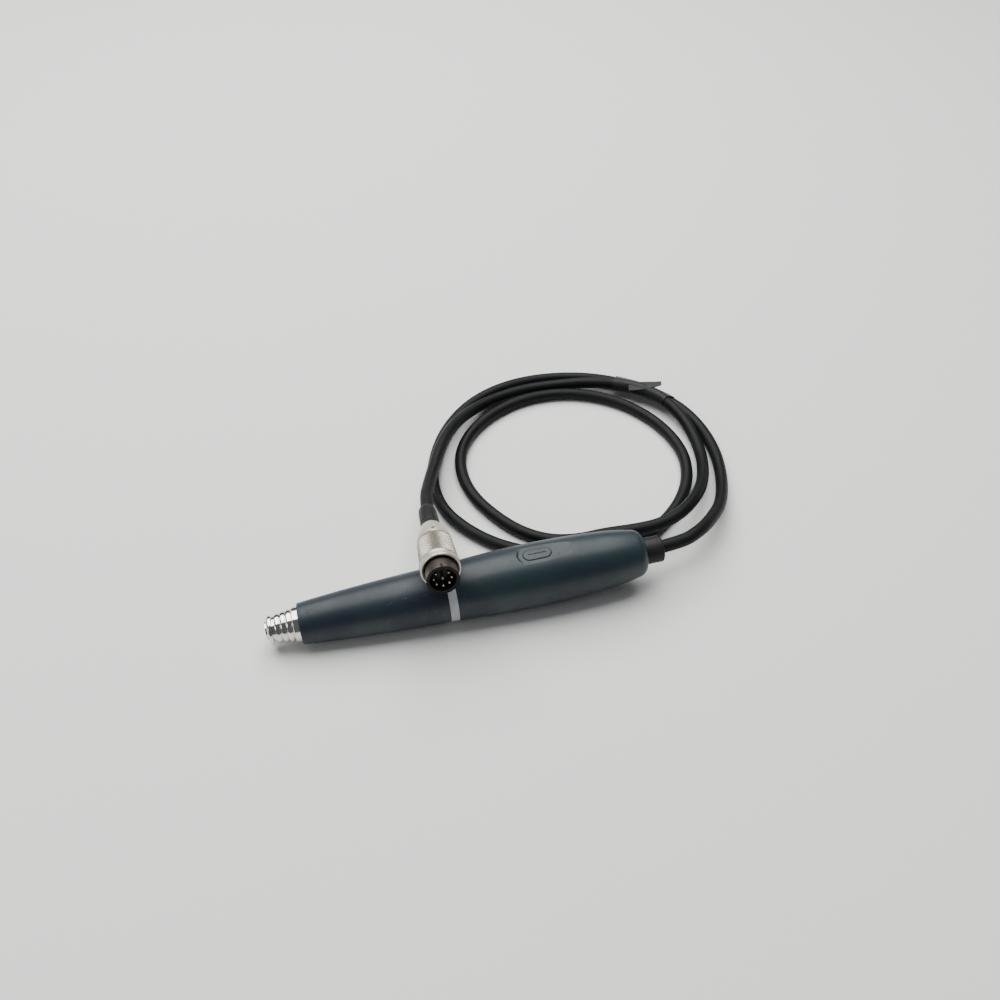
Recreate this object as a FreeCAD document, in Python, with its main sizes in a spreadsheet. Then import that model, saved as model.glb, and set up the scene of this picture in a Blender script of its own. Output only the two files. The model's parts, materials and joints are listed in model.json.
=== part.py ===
"""Corded motor handpiece for plug-in pipette heads, with its eight-pin plug laid across it.

The handle is modelled on its own level axis, with stations counted from the nose tip along +X and
the thumb key on top. One rest pose then lays it on the floor, where it leans on its front edge and
its belly. The plug has its own axis, counted backwards from the front of its coupling ring.
"""
import FreeCAD, Part
import math
import os
import re

import Sketcher
from FreeCAD import Placement, Rotation, Vector

# word, value (millimetres unless it says otherwise), what it is
DRIVING_SIZES = [
    ("nose_length", 15.0, "nose tip to the front edge of the body"),
    ("sleeve_length", 66.0, "painted front sleeve"),
    ("band_width", 3.8, "light ring between the two halves"),
    ("shell_length", 90.2, "rear shell, band to tail"),
    ("dome_length", 18.5, "tapering end of the rear shell"),
    ("corner_length", 4.0, "rounded corner at the very end"),
    ("nose_edge_r", 9.3, "body radius at its front edge"),
    ("sleeve_rear_r", 13.2, "body radius at the band"),
    ("sleeve_crown", 1000.0, "radius of the sleeve's long curve"),
    ("belly_end_r", 13.3, "body radius where the dome starts"),
    ("belly_crown", 420.0, "radius of the shell's long curve"),
    ("corner_start_r", 11.1, "body radius where the end corner starts"),
    ("dome_crown", 113.0, "radius of the dome's curve"),
    ("corner_crown", 5.2, "radius of the end corner"),
    ("tail_face_r", 7.0, "radius of the flat tail face"),
    ("fit_gap", 0.05, "radial gap of a fixed fit"),
    ("running_gap", 0.03, "radial gap of a turning fit"),
    ("gear_bore", 8.45, "sleeve bore for collar, nose tube and gears"),
    ("motor_bore", 9.85, "sleeve bore for the motor"),
    ("motor_station", 41.5, "front face of the motor"),
    ("motor_length", 54.0, "motor can"),
    ("can_wall", 0.8, "motor can wall"),
    ("spigot_wall", 1.35, "wall of the band's two spigots"),
    ("spigot_length", 5.0, "how far each spigot reaches"),
    ("shell_wall", 0.8, "wall of the rear shell at the band"),
    ("end_wall", 4.0, "wall at the tail"),
    ("tube_r", 5.0, "outside of the nose tube"),
    ("socket_r", 3.0, "pilot bore for a head's shank"),
    ("socket_depth", 6.4, "length of the pilot bore"),
    ("lock_bore", 2.8, "bore at the locking balls"),
    ("boss_r", 4.2, "nose tube's thin front end"),
    ("cap_r", 6.6, "front flange"),
    ("cap_back", 3.0, "station of the flange's back face"),
    ("boss_step", 0.9, "how far the boss stands proud of the flange"),
    ("cap_chamfer", 0.7, "chamfer of the front flange"),
    ("lock_depth", 12.0, "station where the lock bore ends"),
    ("neck_length", 1.2, "plain neck at the front of the collar"),
    ("neck_wall", 0.77, "wall of that neck"),
    ("rib_shoulder", 0.3, "how far a rib's edges lie below its crest"),
    ("groove_depth", 0.75, "groove between ribs, below the rib ahead of it"),
    ("skirt_chamfer", 0.3, "chamfer of the plain rear ring"),
    ("skirt_wall", 1.2, "wall of the collar's rear ring"),
    ("pocket_wall", 0.8, "rear ring's start to the spring pocket"),
    ("collar_clear", 0.4, "collar to the tube's flange at full travel"),
    ("cone_offset", 0.13, "release cone's start behind the balls' middles"),
    ("collar_gap", 0.3, "flange to locking collar"),
    ("collar_travel", 2.0, "how far the collar pulls back"),
    ("slide_gap", 0.08, "radial gap of the sliding collar"),
    ("skirt_gap", 0.25, "radial gap of the collar's rear ring in the sleeve"),
    ("rib_wall", 1.67, "first rib's height over the collar's bore"),
    ("rib_pitch", 2.6, "rib to rib on the collar"),
    ("rib_groove", 0.35, "groove between two ribs"),
    ("rib_step_r", 0.45, "how much each next rib is larger"),
    ("spring_wire", 0.6, "flat wire of the collar spring, along the axis"),
    ("spring_wall", 0.9, "flat wire of the collar spring, across it"),
    ("spring_turns", 4, "turns (plain number)"),
    ("ball_r", 1.2, "locking ball"),
    ("ball_station", 8.0, "station of the ball ring"),
    ("ball_lift", 0.3, "ball travel per collar travel (plain ratio)"),
    ("spindle_r", 2.0, "output spindle"),
    ("flange_station", 20.0, "nose tube's inner flange"),
    ("bearing_r", 5.0, "spindle bearing outside"),
    ("bearing_width", 4.0, "spindle bearing width"),
    ("seat_wall", 1.5, "wall ahead of a bearing seat"),
    ("seat_room", 0.5, "length left in the spindle bearing's seat"),
    ("plate_thickness", 1.5, "plate that closes the spindle bearing's seat"),
    ("spindle_room", 0.3, "nose tube bore round the spindle"),
    ("blade_length", 3.0, "drive blade on the spindle's front end"),
    ("blade_width", 3.4, "drive blade"),
    ("blade_thickness", 1.4, "drive blade"),
    ("carrier_thickness", 2.0, "planet carrier plate"),
    ("carrier_gap", 0.7, "carrier plate to the gears"),
    ("carrier_rim", 2.1, "carrier plate beyond the planets' middles"),
    ("face_gap", 0.4, "ring gear beyond the planets' rear faces"),
    ("spacer_wall", 0.95, "wall of the gearbox spacer"),
    ("module_size", 0.4, "gear module"),
    ("sun_teeth", 12, "teeth (plain number)"),
    ("planet_teeth", 12, "teeth (plain number)"),
    ("gear_station", 30.8, "front face of the gears"),
    ("gear_width", 6.2, "planet face width"),
    ("pinion_bore", 1.25, "motor shaft at the sun gear"),
    ("planet_pin_r", 0.7, "planet pins"),
    ("motor_shaft_r", 2.0, "motor shaft in its bearings"),
    ("motor_bearing_r", 4.0, "motor bearing outside"),
    ("motor_bearing_width", 3.0, "motor bearing width"),
    ("core_wall", 1.45, "stator core and its fit round the winding"),
    ("winding_wall", 1.6, "winding cup wall"),
    ("air_gap", 0.55, "rotor magnet to the winding"),
    ("magnet_length", 30.0, "rotor magnet"),
    ("core_length", 32.0, "stator core"),
    ("winding_length", 38.0, "winding cup"),
    ("sensor_station", 20.0, "sensor board behind the motor's middle"),
    ("sensor_thickness", 1.0, "sensor board"),
    ("rear_bore", 1.2, "hole in the rear bell"),
    ("retainer_length", 3.0, "ring that holds the motor in"),
    ("retainer_bore", 7.0, "that ring's bore"),
    ("pad_floor", 13.95, "height of the flat thumb pad above the axis"),
    ("pad_start", 115.0, "front end of the thumb pad"),
    ("pad_length", 25.0, "thumb pad"),
    ("pad_width", 12.0, "thumb pad cutter"),
    ("key_station", 124.0, "middle of the thumb key"),
    ("key_length", 13.0, "thumb key"),
    ("key_width", 6.2, "thumb key"),
    ("key_top", 14.35, "top of the key above the axis"),
    ("key_gap", 0.2, "gap round the key"),
    ("key_travel", 0.5, "press of the key"),
    ("key_base", 11.0, "bottom of the key's cap above the axis"),
    ("lip_top", 11.4, "top of the key's retaining lip"),
    ("lip_thickness", 0.7, "key's retaining lip"),
    ("lip_rim", 1.0, "lip beyond the cap at each end"),
    ("lip_side", 0.6, "lip beyond the cap at each side"),
    ("line_length", 8.4, "line engraved on the key"),
    ("line_width", 0.6, "that line"),
    ("line_depth", 0.25, "that line"),
    ("plunger_r", 1.6, "switch plunger"),
    ("plunger_length", 0.95, "switch plunger"),
    ("plunger_gap", 0.55, "switch to its plunger"),
    ("switch_side", 6.0, "key switch, both ways"),
    ("switch_height", 2.6, "key switch"),
    ("chip_height", 1.2, "parts on the control board"),
    ("lead_r", 0.5, "wires inside the body"),
    ("lead_height", 5.8, "motor leads above the axis"),
    ("lead_reach", 6.0, "cord's wires under the back end of the board"),
    ("lead_gap", 0.05, "cord's wires to the board and to the cord"),
    ("clamp_length", 6.0, "cord clamp"),
    ("clamp_width", 14.0, "cord clamp"),
    ("clamp_height", 10.0, "cord clamp"),
    ("clamp_screw_y", 5.2, "clamp screws from the middle"),
    ("clamp_screw_r", 0.75, "clamp screw shanks"),
    ("clamp_head_r", 1.4, "clamp screw heads"),
    ("board_top", 6.6, "top of the control board above the axis"),
    ("board_width", 17.0, "control board"),
    ("board_length", 46.0, "control board"),
    ("board_thickness", 1.6, "control board"),
    ("gland_r", 6.3, "gland outside"),
    ("gland_length", 8.5, "gland behind the tail"),
    ("gland_thread_r", 5.2, "gland through the end wall"),
    ("gland_inside", 3.0, "gland thread beyond the end wall"),
    ("gland_chamfer", 0.5, "chamfer at the gland's back"),
    ("nut_thickness", 2.6, "gland nut"),
    ("nut_wall", 1.8, "gland nut"),
    ("cord_r", 3.15, "cord"),
    ("wrap_wall", 0.6, "tape wound on the cord"),
    ("tab_length", 15.0, "loose end of the tape"),
    ("tab_width", 6.5, "loose end of the tape"),
    ("tab_swing", -20.0, "degrees that the loose end turns from the handle's direction"),
    ("ring_gap", 0.3, "radial gap between the ring and the barrel"),
    ("ring_wall", 1.55, "wall of the coupling ring"),
    ("ring_taper", 0.9, "how much thinner the ring is at its back"),
    ("ring_length", 20.0, "plug coupling ring"),
    ("ring_face", 4.4, "plain band at the front of the ring"),
    ("barrel_r", 7.15, "plug contact barrel"),
    ("barrel_wall", 0.6, "barrel wall"),
    ("barrel_step", 0.3, "how much thinner the barrel is inside the ring"),
    ("barrel_shoulder", 0.5, "where that step is, ahead of the ring"),
    ("barrel_reach", 7.0, "barrel ahead of the ring"),
    ("recess_depth", 5.0, "recess that the pins stand in"),
    ("pin_r", 0.5, "contact pins"),
    ("pin_circle", 3.9, "radius of the ring of pins"),
    ("pin_set_back", 0.9, "pin tips behind the barrel's front edge"),
    ("pin_length", 19.0, "contact pins"),
    ("ring_chamfer", 0.5, "chamfer at the ring's front"),
    ("knurl_step", 0.2, "knurled part below the front band"),
    ("ring_lip", 0.25, "lip at the ring's back, inside"),
    ("lip_length", 1.5, "that lip"),
    ("ring_play", 0.07, "plug shell's collar inside the ring"),
    ("core_end", 9.8, "back end of the barrel and insulator"),
    ("liner_wall", 0.6, "insulator's wall round the recess"),
    ("shell_inside", 5.4, "inside of the plug shell"),
    ("shell_front", 10.0, "front end of the plug shell"),
    ("shell_crown", 30.0, "radius of the plug shell's curve"),
    ("screw_place", 2.6, "set screw behind the ring"),
    ("screw_r", 0.75, "set screw"),
    ("shell_tail_r", 4.9, "plug shell at its back"),
    ("plug_shell_end", 33.0, "back of the plug shell"),
    ("boot_end", 49.5, "back of the plug boot"),
    ("boot_r", 4.6, "plug boot at the shell"),
    ("plug_x", -13.35, "plug ring front, along the floor"),
    ("plug_y", -7.5, "plug ring front, across the handle"),
    ("plug_lean", 13.0, "degrees that the plug's nose points up"),
    ("plug_swing", 2.2, "degrees that the plug is turned from straight across"),
    ("plug_gap", 0.1, "plug ring above the handle"),
]

# Sizes that follow from the driving ones: word, expression, what it is
FOLLOWING_SIZES = [
    ("collar_bore", "tube_r+slide_gap", "collar on the nose tube"),
    ("collar_skirt_r", "gear_bore-skirt_gap", "plain rear ring of the collar"),
    ("rib_first_r", "collar_bore+rib_wall", "radius of the first rib"),
    ("spigot_r", "motor_bore+spigot_wall", "outside of the band's two spigots"),
    ("shell_bore", "sleeve_rear_r-shell_wall", "inside of the rear shell"),
    ("winding_r", "motor_bore-fit_gap-can_wall-core_wall", "outside of the winding cup"),
    ("magnet_r", "winding_r-winding_wall-air_gap", "rotor magnet"),
    ("ring_bore", "barrel_r+ring_gap", "inside of the coupling ring"),
    ("ring_r", "ring_bore+ring_wall", "plug coupling ring"),
    ("ring_tail_r", "ring_r-ring_taper", "coupling ring at its back"),
]

# The cord's route between the gland and the plug, chosen by hand on the floor's axes.
CORD_ROUTE = [
    (114.5, 7.0, 17.6), (124.5, 16.5, 13.9),
    (134.0, 27.5, 10.0), (141.4, 41.5, 6.4), (147.2, 57.2, 4.2), (150.5, 74.0, 3.3),
    (150.2, 91.5, 3.5), (145.8, 108.5, 3.8), (137.0, 123.5, 3.8), (123.5, 136.5, 3.8),
    (105.0, 147.5, 3.8), (85.0, 153.5, 3.4), (64.0, 154.5, 3.2), (44.5, 149.7, 3.2),
    (27.0, 139.2, 3.2), (12.0, 122.0, 3.2), (2.0, 101.5, 3.2), (-2.8, 81.0, 3.2),
    (-0.8, 62.0, 3.2), (8.0, 46.0, 3.2), (20.0, 33.0, 3.2), (33.5, 24.5, 3.2),
    (48.5, 20.0, 3.2), (64.0, 17.8, 3.2), (80.0, 17.5, 3.2), (95.0, 21.5, 3.2),
    (109.0, 31.0, 3.2), (121.0, 43.2, 3.2), (129.2, 57.5, 3.2), (133.2, 74.0, 3.2),
    (131.5, 91.0, 3.2), (125.0, 108.0, 3.2), (112.5, 124.5, 3.2), (95.0, 135.5, 3.2),
    (76.0, 139.7, 3.2), (57.0, 137.7, 3.2), (39.5, 129.5, 3.2), (25.5, 117.5, 3.2),
    (16.5, 102.5, 3.2), (13.5, 85.5, 3.2), (16.0, 68.0, 3.2), (24.0, 51.5, 3.2),
    (34.0, 38.0, 3.2), (46.0, 29.5, 3.2), (59.5, 25.8, 4.0), (73.0, 23.0, 8.4),
    (86.0, 18.6, 12.4), (98.5, 17.4, 14.6), (110.5, 22.2, 14.8), (121.0, 31.2, 13.0),
    (129.8, 42.4, 9.8), (136.4, 55.0, 6.6), (141.2, 69.0, 4.4), (143.2, 83.5, 4.2),
    (142.2, 98.0, 6.0), (137.6, 112.0, 7.8), (129.0, 124.0, 8.6), (116.5, 134.2, 7.8),
    (100.5, 142.2, 5.6), (82.0, 146.8, 3.5), (62.0, 147.2, 3.2), (43.5, 141.8, 3.9),
    (27.5, 130.5, 7.0), (15.5, 116.0, 11.5), (6.5, 99.5, 15.2), (-0.5, 82.0, 17.0),
    (-6.2, 66.0, 19.8),
]
WRAPPED_CORNERS = [(10, 11), (58, 59)]  # the corners of the route that the tape covers, strand by strand
TAB_CORNER = (121.4, 123.4, 11.85)       # where the tape's loose end leaves the bundle

doc = FreeCAD.newDocument("Handpiece")
sheet = doc.addObject("Spreadsheet::Sheet", "Sizes")
for row_number, (word, value, meaning) in enumerate(DRIVING_SIZES + FOLLOWING_SIZES, start=1):
    sheet.set(f"A{row_number}", f"={value}")
    sheet.set(f"B{row_number}", meaning)
    sheet.setAlias(f"A{row_number}", word)
doc.recompute()
WORDS = {word for word, _, _ in DRIVING_SIZES + FOLLOWING_SIZES}

# Stations and radii that follow from the driving sizes, written as the sheet's own words.
BAND = "(nose_length+sleeve_length)"
SHELL = f"({BAND}+band_width)"
TAIL = f"({SHELL}+shell_length)"
GLAND_END = f"({TAIL}+gland_length)"
MOTOR_END = "(motor_station+motor_length)"
COLLAR_FRONT = "(cap_back+collar_gap)"
COLLAR_BACK = "(flange_station-collar_travel-collar_clear)"
COLLAR_NECK = f"({COLLAR_FRONT}+neck_length)"
COLLAR_SKIRT = f"({COLLAR_NECK}+3*rib_pitch)"
COLLAR_POCKET = f"({COLLAR_SKIRT}+pocket_wall)"
SEAT_FRONT = "(flange_station+seat_wall)"
SEAT_END = f"({SEAT_FRONT}+bearing_width+seat_room)"
PLATE_END = f"({SEAT_END}+plate_thickness)"
RING_END = "(gear_station+gear_width+face_gap)"
MOTOR_MIDDLE = "(motor_station+motor_length/2)"
BELL_DEPTH = "(motor_bearing_width+seat_wall)"
CAN_R = "(motor_bore-fit_gap)"
CAN_INSIDE = f"({CAN_R}-can_wall)"
CENTRES = "(module_size*(sun_teeth+planet_teeth)/2)"
GEAR_OUTSIDE = "(gear_bore-fit_gap)"
BALL_CENTRE = "(tube_r-ball_r)"
CORD_START = f"({TAIL}-end_wall-12)"  # inside the body, ahead of the clamp
CORD_END = "(plug_shell_end-4.5)"  # inside the plug shell
SECTION_CORNERS = ((0, -0.5), (1, -0.5), (1, 0.5), (0, 0.5))  # a flat wire's corners, in its own sizes
NODES = {}


def value_of(expression):
    """The value of an expression in the sheet's words."""
    return float(sheet.evalExpression(str(expression)))


def bound(expression):
    """The same expression as an object outside the sheet has to write it."""
    return re.sub(r"[a-z]\w+", lambda m: "Sizes." + m[0] if m[0] in WORDS else m[0], str(expression))


def bind(thing, **properties):
    """Bind properties of an object to the sheet."""
    for name, expression in properties.items():
        thing.setExpression(name, bound(expression))
    return thing


def keep(name, thing, pose=None):
    """Name an object as a node of the assembly and say where it stands."""
    if pose and thing.TypeId in ("Part::Box", "Part::Cylinder"):
        thing = grouped(name + "_node", [thing])  # its own placement follows the sheet
    thing.Label = name
    NODES[name] = (thing, pose)
    return thing


# ---------------------------------------------------------------- tools for turned pieces


def arc_centre(start, end, radius):
    """Centre of the arc that bulges away from the axis, for an outline that runs along +X."""
    chord = end - start
    middle = (start + end) * 0.5
    inward = Vector(chord.y, -chord.x, 0).normalize()
    return middle + inward * math.sqrt(radius ** 2 - (chord.Length / 2) ** 2)


def turned_body(name, outline):
    """A PartDesign body turned about X.

    The outline is a closed list of (station, radius) or (station, radius, crown), where crown is
    the radius of the arc that leads on to the next point.
    """
    body = doc.addObject("PartDesign::Body", name)
    sketch = body.newObject("Sketcher::SketchObject", name + "_outline")
    plane = next(f for f in body.Origin.OriginFeatures if f.Role == "XY_Plane")
    axis = next(f for f in body.Origin.OriginFeatures if f.Role == "X_Axis")
    sketch.AttachmentSupport = [(plane, "")]
    sketch.MapMode = "FlatFace"
    corners = [Vector(value_of(p[0]), value_of(p[1]), 0) for p in outline]
    for index, point in enumerate(outline):
        start, end = corners[index], corners[(index + 1) % len(corners)]
        if len(point) == 3:
            centre = arc_centre(start, end, value_of(point[2]))
            first, last = end - centre, start - centre
            circle = Part.Circle(centre, Vector(0, 0, 1), value_of(point[2]))
            arc = Part.ArcOfCircle(circle, math.atan2(first.y, first.x), math.atan2(last.y, last.x))
            sketch.addGeometry(arc)
        else:
            sketch.addGeometry(Part.LineSegment(start, end))
    for index, point in enumerate(outline):
        tail, head = (2, 1) if len(point) == 3 else (1, 2)
        following = (index + 1) % len(outline)
        next_tail = 2 if len(outline[following]) == 3 else 1
        sketch.addConstraint(Sketcher.Constraint("Coincident", index, head, following, next_tail))
        places = (("DistanceX", corners[index].x), ("DistanceY", corners[index].y))
        for (kind, distance), expression in zip(places, point):
            number = sketch.addConstraint(Sketcher.Constraint(kind, -1, 1, index, tail, distance))
            sketch.setExpression(f"Constraints[{number}]", bound(expression))
        if len(point) == 3:
            number = sketch.addConstraint(Sketcher.Constraint("Radius", index, value_of(point[2])))
            sketch.setExpression(f"Constraints[{number}]", bound(point[2]))
    turning = body.newObject("PartDesign::Revolution", name + "_turning")
    turning.Profile = sketch
    turning.ReferenceAxis = (axis, [""])
    turning.Angle = 360
    sketch.Visibility = False
    return body


def ring_outline(front, back, outside, inside):
    """The outline of a plain ring or tube."""
    return [(front, outside), (back, outside), (back, inside), (front, inside)]


def cylinder(name, radius, length, centre, direction=Vector(0, 0, 1)):
    """A Part cylinder that starts at centre, a tuple of expressions, and runs along direction."""
    rod = doc.addObject("Part::Cylinder", name)
    bind(rod, Radius=radius, Height=length)
    rod.Placement = Placement(Vector(*map(value_of, centre)), Rotation(Vector(0, 0, 1), direction))
    return rod


def block(name, low, size):
    """A Part box from its low corner, both given as tuples of expressions."""
    box = doc.addObject("Part::Box", name)
    bind(box, Length=size[0], Width=size[1], Height=size[2])
    for letter, expression in zip("xyz", low):
        box.setExpression(f"Placement.Base.{letter}", bound(expression))
    return box


def cut_from(name, base, tools):
    """Base less the tools, as a Part cut."""
    tool = tools[0]
    if len(tools) > 1:
        tool = doc.addObject("Part::MultiFuse", name + "_tools")
        tool.Shapes = tools
    cut = doc.addObject("Part::Cut", name)
    cut.Base = base
    cut.Tool = tool
    return cut


def joined(name, pieces):
    """Pieces fused into one solid."""
    fusion = doc.addObject("Part::MultiFuse", name)
    fusion.Shapes = pieces
    return fusion


def grouped(name, pieces):
    """Separate solids kept in one node."""
    group = doc.addObject("Part::Compound", name)
    group.Links = pieces
    return group


def stadium(name, middle, length, width, low, high):
    """An upright block with round ends, centred on the handle's ridge."""
    straight = block(
        name + "_straight",
        (f"{middle}-({length}-{width})/2", f"-({width})/2", low),
        (f"{length}-{width}", width, f"{high}-({low})"),
    )
    ends = [
        cylinder(f"{name}_end_{side}", f"({width})/2", f"{high}-({low})",
                 (f"{middle}{sign}({length}-{width})/2", "0", low))
        for side, sign in (("front", "-"), ("back", "+"))
    ]
    for end, sign in zip(ends, "-+"):
        end.setExpression("Placement.Base.x", bound(f"{middle}{sign}({length}-{width})/2"))
        end.setExpression("Placement.Base.z", bound(low))
    return joined(name, [straight, *ends])


# ---------------------------------------------------------------- poses


def tilted(direction_degrees):
    """Rotation that lifts +X by an angle."""
    return Rotation(Vector(0, 1, 0), -direction_degrees)


def rest_pose():
    """Lay the handle down on the two long curves of its outline, the sleeve's and the belly's."""
    sleeve_r, belly_r = value_of("sleeve_crown"), value_of("belly_crown")
    sleeve = arc_centre(
        Vector(value_of("nose_length"), value_of("nose_edge_r"), 0),
        Vector(value_of(BAND), value_of("sleeve_rear_r"), 0),
        sleeve_r,
    )
    belly = arc_centre(
        Vector(value_of(SHELL), value_of("sleeve_rear_r"), 0),
        Vector(value_of(f"{TAIL}-dome_length"), value_of("belly_end_r"), 0),
        belly_r,
    )
    reach = belly - sleeve
    lean = math.atan2(reach.y, reach.x) - math.asin((sleeve_r - belly_r) / reach.Length)
    sine, cosine = math.sin(lean), math.cos(lean)
    back_end = value_of(GLAND_END) * cosine + value_of("gland_r-gland_chamfer") * sine
    front_end = -value_of("boss_r") * sine
    height = sleeve.y * cosine - sleeve.x * sine + sleeve_r
    shift = Vector(-(back_end + front_end) / 2, 0, height)
    return Placement(shift, tilted(math.degrees(lean)))


def plug_pose(handle):
    """Lay the plug across the handle, with its ring on the ridge and its nose up."""
    lean, swing = math.radians(value_of("plug_lean")), math.radians(value_of("plug_swing"))
    level = Vector(math.sin(swing), math.cos(swing), 0)
    backwards = level * math.cos(lean) + Vector(0, 0, -math.sin(lean))
    along = handle.Rotation.multVec(Vector(1, 0, 0))
    normal = along.cross(backwards).normalize()
    place = Vector(value_of("plug_x"), value_of("plug_y"), 0)
    station = place.x - handle.Base.x
    share = (station - value_of("nose_length")) / value_of("sleeve_length")
    rise = value_of("sleeve_rear_r") - value_of("nose_edge_r")
    bulge = 0.35  # how far the sleeve's curve stands over a straight cone there
    handle_radius = min(value_of("nose_edge_r") + rise * share + bulge, value_of("sleeve_rear_r"))
    apart = handle_radius + value_of("ring_r") + value_of("plug_gap")
    place.z = (apart - (place - handle.Base).dot(normal)) / normal.z
    up = backwards.cross(Vector(0, 0, 1).cross(backwards)).normalize()
    return Placement(place, Rotation(backwards, Vector(0, 0, 0), up, "XZY"))


HANDLE = rest_pose()
PLUG = plug_pose(HANDLE)

# ---------------------------------------------------------------- the handle's shells


def front_sleeve():
    outline = [
        ("nose_length", "nose_edge_r", "sleeve_crown"),
        (BAND, "sleeve_rear_r"),
        (BAND, "spigot_r+fit_gap"),
        (f"{BAND}-spigot_length-0.5", "spigot_r+fit_gap"),
        (f"{BAND}-spigot_length-0.5", "motor_bore"),
        ("motor_station-0.5", "motor_bore"),
        ("motor_station-0.5", "gear_bore"),
        ("nose_length", "gear_bore"),
    ]
    keep("front_sleeve", turned_body("front_sleeve", outline), HANDLE)


def seam_band():
    outline = [
        (BAND, "sleeve_rear_r"),
        (SHELL, "sleeve_rear_r"),
        (SHELL, "spigot_r"),
        (f"{SHELL}+spigot_length", "spigot_r"),
        (f"{SHELL}+spigot_length", "motor_bore"),
        (f"{BAND}-spigot_length", "motor_bore"),
        (f"{BAND}-spigot_length", "spigot_r"),
        (BAND, "spigot_r"),
    ]
    keep("seam_band", turned_body("seam_band", outline), HANDLE)


def rear_shell():
    outline = [
        (SHELL, "sleeve_rear_r", "belly_crown"),
        (f"{TAIL}-dome_length", "belly_end_r", "dome_crown"),
        (f"{TAIL}-corner_length", "corner_start_r", "corner_crown"),
        (TAIL, "tail_face_r"),
        (TAIL, "gland_thread_r+fit_gap"),
        (f"{TAIL}-end_wall", "gland_thread_r+fit_gap"),
        (f"{TAIL}-end_wall", "corner_start_r-2.6"),
        (f"{TAIL}-dome_length", "belly_end_r-2"),
        (f"{TAIL}-dome_length-6", "shell_bore"),
        (f"{SHELL}+spigot_length+2", "shell_bore"),
        (f"{SHELL}+spigot_length+1", "spigot_r+fit_gap"),
        (SHELL, "spigot_r+fit_gap"),
    ]
    shell = turned_body("rear_shell_turned", outline)
    pad_middle = "(pad_start+pad_length/2)"
    pad = stadium("pad_cutter", pad_middle, "pad_length", "pad_width", "pad_floor", "pad_floor+3")
    slot_size = ("key_length+2*key_gap", "key_width+2*key_gap")
    slot = stadium("key_slot", "key_station", *slot_size, "key_base-3", "pad_floor+1")
    keep("rear_shell", cut_from("rear_shell", shell, [pad, slot]), HANDLE)


# ---------------------------------------------------------------- the nose


def nose_tube():
    outline = [
        ("0", "boss_r"),
        ("cap_back", "boss_r"),
        ("cap_back", "tube_r"),
        ("flange_station", "tube_r"),
        ("flange_station", GEAR_OUTSIDE),
        (SEAT_END, GEAR_OUTSIDE),
        (SEAT_END, "bearing_r"),
        (SEAT_FRONT, "bearing_r"),
        (SEAT_FRONT, "spindle_r+spindle_room"),
        ("lock_depth", "spindle_r+spindle_room"),
        ("lock_depth", "lock_bore"),
        ("socket_depth", "lock_bore"),
        ("socket_depth", "socket_r"),
        ("0", "socket_r"),
    ]
    tube = turned_body("nose_tube_turned", outline)
    holes = []
    for index in range(3):
        place = ("ball_station", "0", "0")
        hole = cylinder(f"ball_hole_{index + 1}", "ball_r+fit_gap", "tube_r+1", place, ball_direction(index))
        hole.setExpression("Placement.Base.x", bound("ball_station"))
        holes.append(hole)
    keep("nose_tube", cut_from("nose_tube", tube, holes), HANDLE)


def ball_direction(index):
    """Direction of a locking ball's hole, square to the axis."""
    angle = math.radians(90 + 120 * index)
    return Vector(0, math.cos(angle), math.sin(angle))


def locking_balls():
    for index in range(3):
        ball = doc.addObject("Part::Sphere", f"locking_ball_{index + 1}")
        bind(ball, Radius="ball_r")
        middle = Vector(value_of("ball_station"), 0, 0) + ball_direction(index) * value_of(BALL_CENTRE)
        ball.Placement = Placement(middle, Rotation())
        keep(f"locking_ball_{index + 1}", ball, HANDLE)


def nose_cap():
    outline = [
        ("boss_step", "cap_r-cap_chamfer"),
        ("boss_step+cap_chamfer", "cap_r"),
        ("cap_back", "cap_r"),
        ("cap_back", "boss_r+fit_gap"),
        ("boss_step", "boss_r+fit_gap"),
    ]
    keep("nose_cap", turned_body("nose_cap", outline), HANDLE)


def locking_collar():
    """Ribbed ring that pulls back against its spring; its inner cone frees the balls."""
    outline = [(COLLAR_FRONT, "collar_bore+neck_wall"), (COLLAR_NECK, "collar_bore+neck_wall")]
    for rib in range(3):
        radius = f"(rib_first_r+{rib}*rib_step_r)"
        start = f"({COLLAR_NECK}+{rib}*rib_pitch)"
        outline += [
            (start, f"{radius}-rib_shoulder", "rib_pitch"),
            (f"{start}+rib_pitch-rib_groove", f"{radius}-rib_shoulder"),
            (f"{start}+rib_pitch-rib_groove", f"{radius}-groove_depth"),
            (f"{start}+rib_pitch", f"{radius}-groove_depth"),
        ]
    cone_start = "(ball_station+cone_offset)"
    cone_wide = "(ball_station-collar_travel-0.4)"
    cone_r = f"(collar_bore+ball_lift*({cone_start}-{cone_wide}))"
    outline += [
        (COLLAR_SKIRT, "collar_skirt_r-skirt_chamfer"),
        (f"{COLLAR_SKIRT}+skirt_chamfer", "collar_skirt_r"),
        (COLLAR_BACK, "collar_skirt_r"),
        (COLLAR_BACK, "collar_skirt_r-skirt_wall"),
        (COLLAR_POCKET, "collar_skirt_r-skirt_wall"),
        (COLLAR_POCKET, "collar_bore"),
        (cone_start, "collar_bore"),
        (cone_wide, cone_r),
        (f"{COLLAR_NECK}+0.5", cone_r),
        (f"{COLLAR_NECK}+0.5", "collar_bore"),
        (COLLAR_FRONT, "collar_bore"),
    ]
    keep("locking_collar", turned_body("locking_collar", outline), HANDLE)


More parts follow.
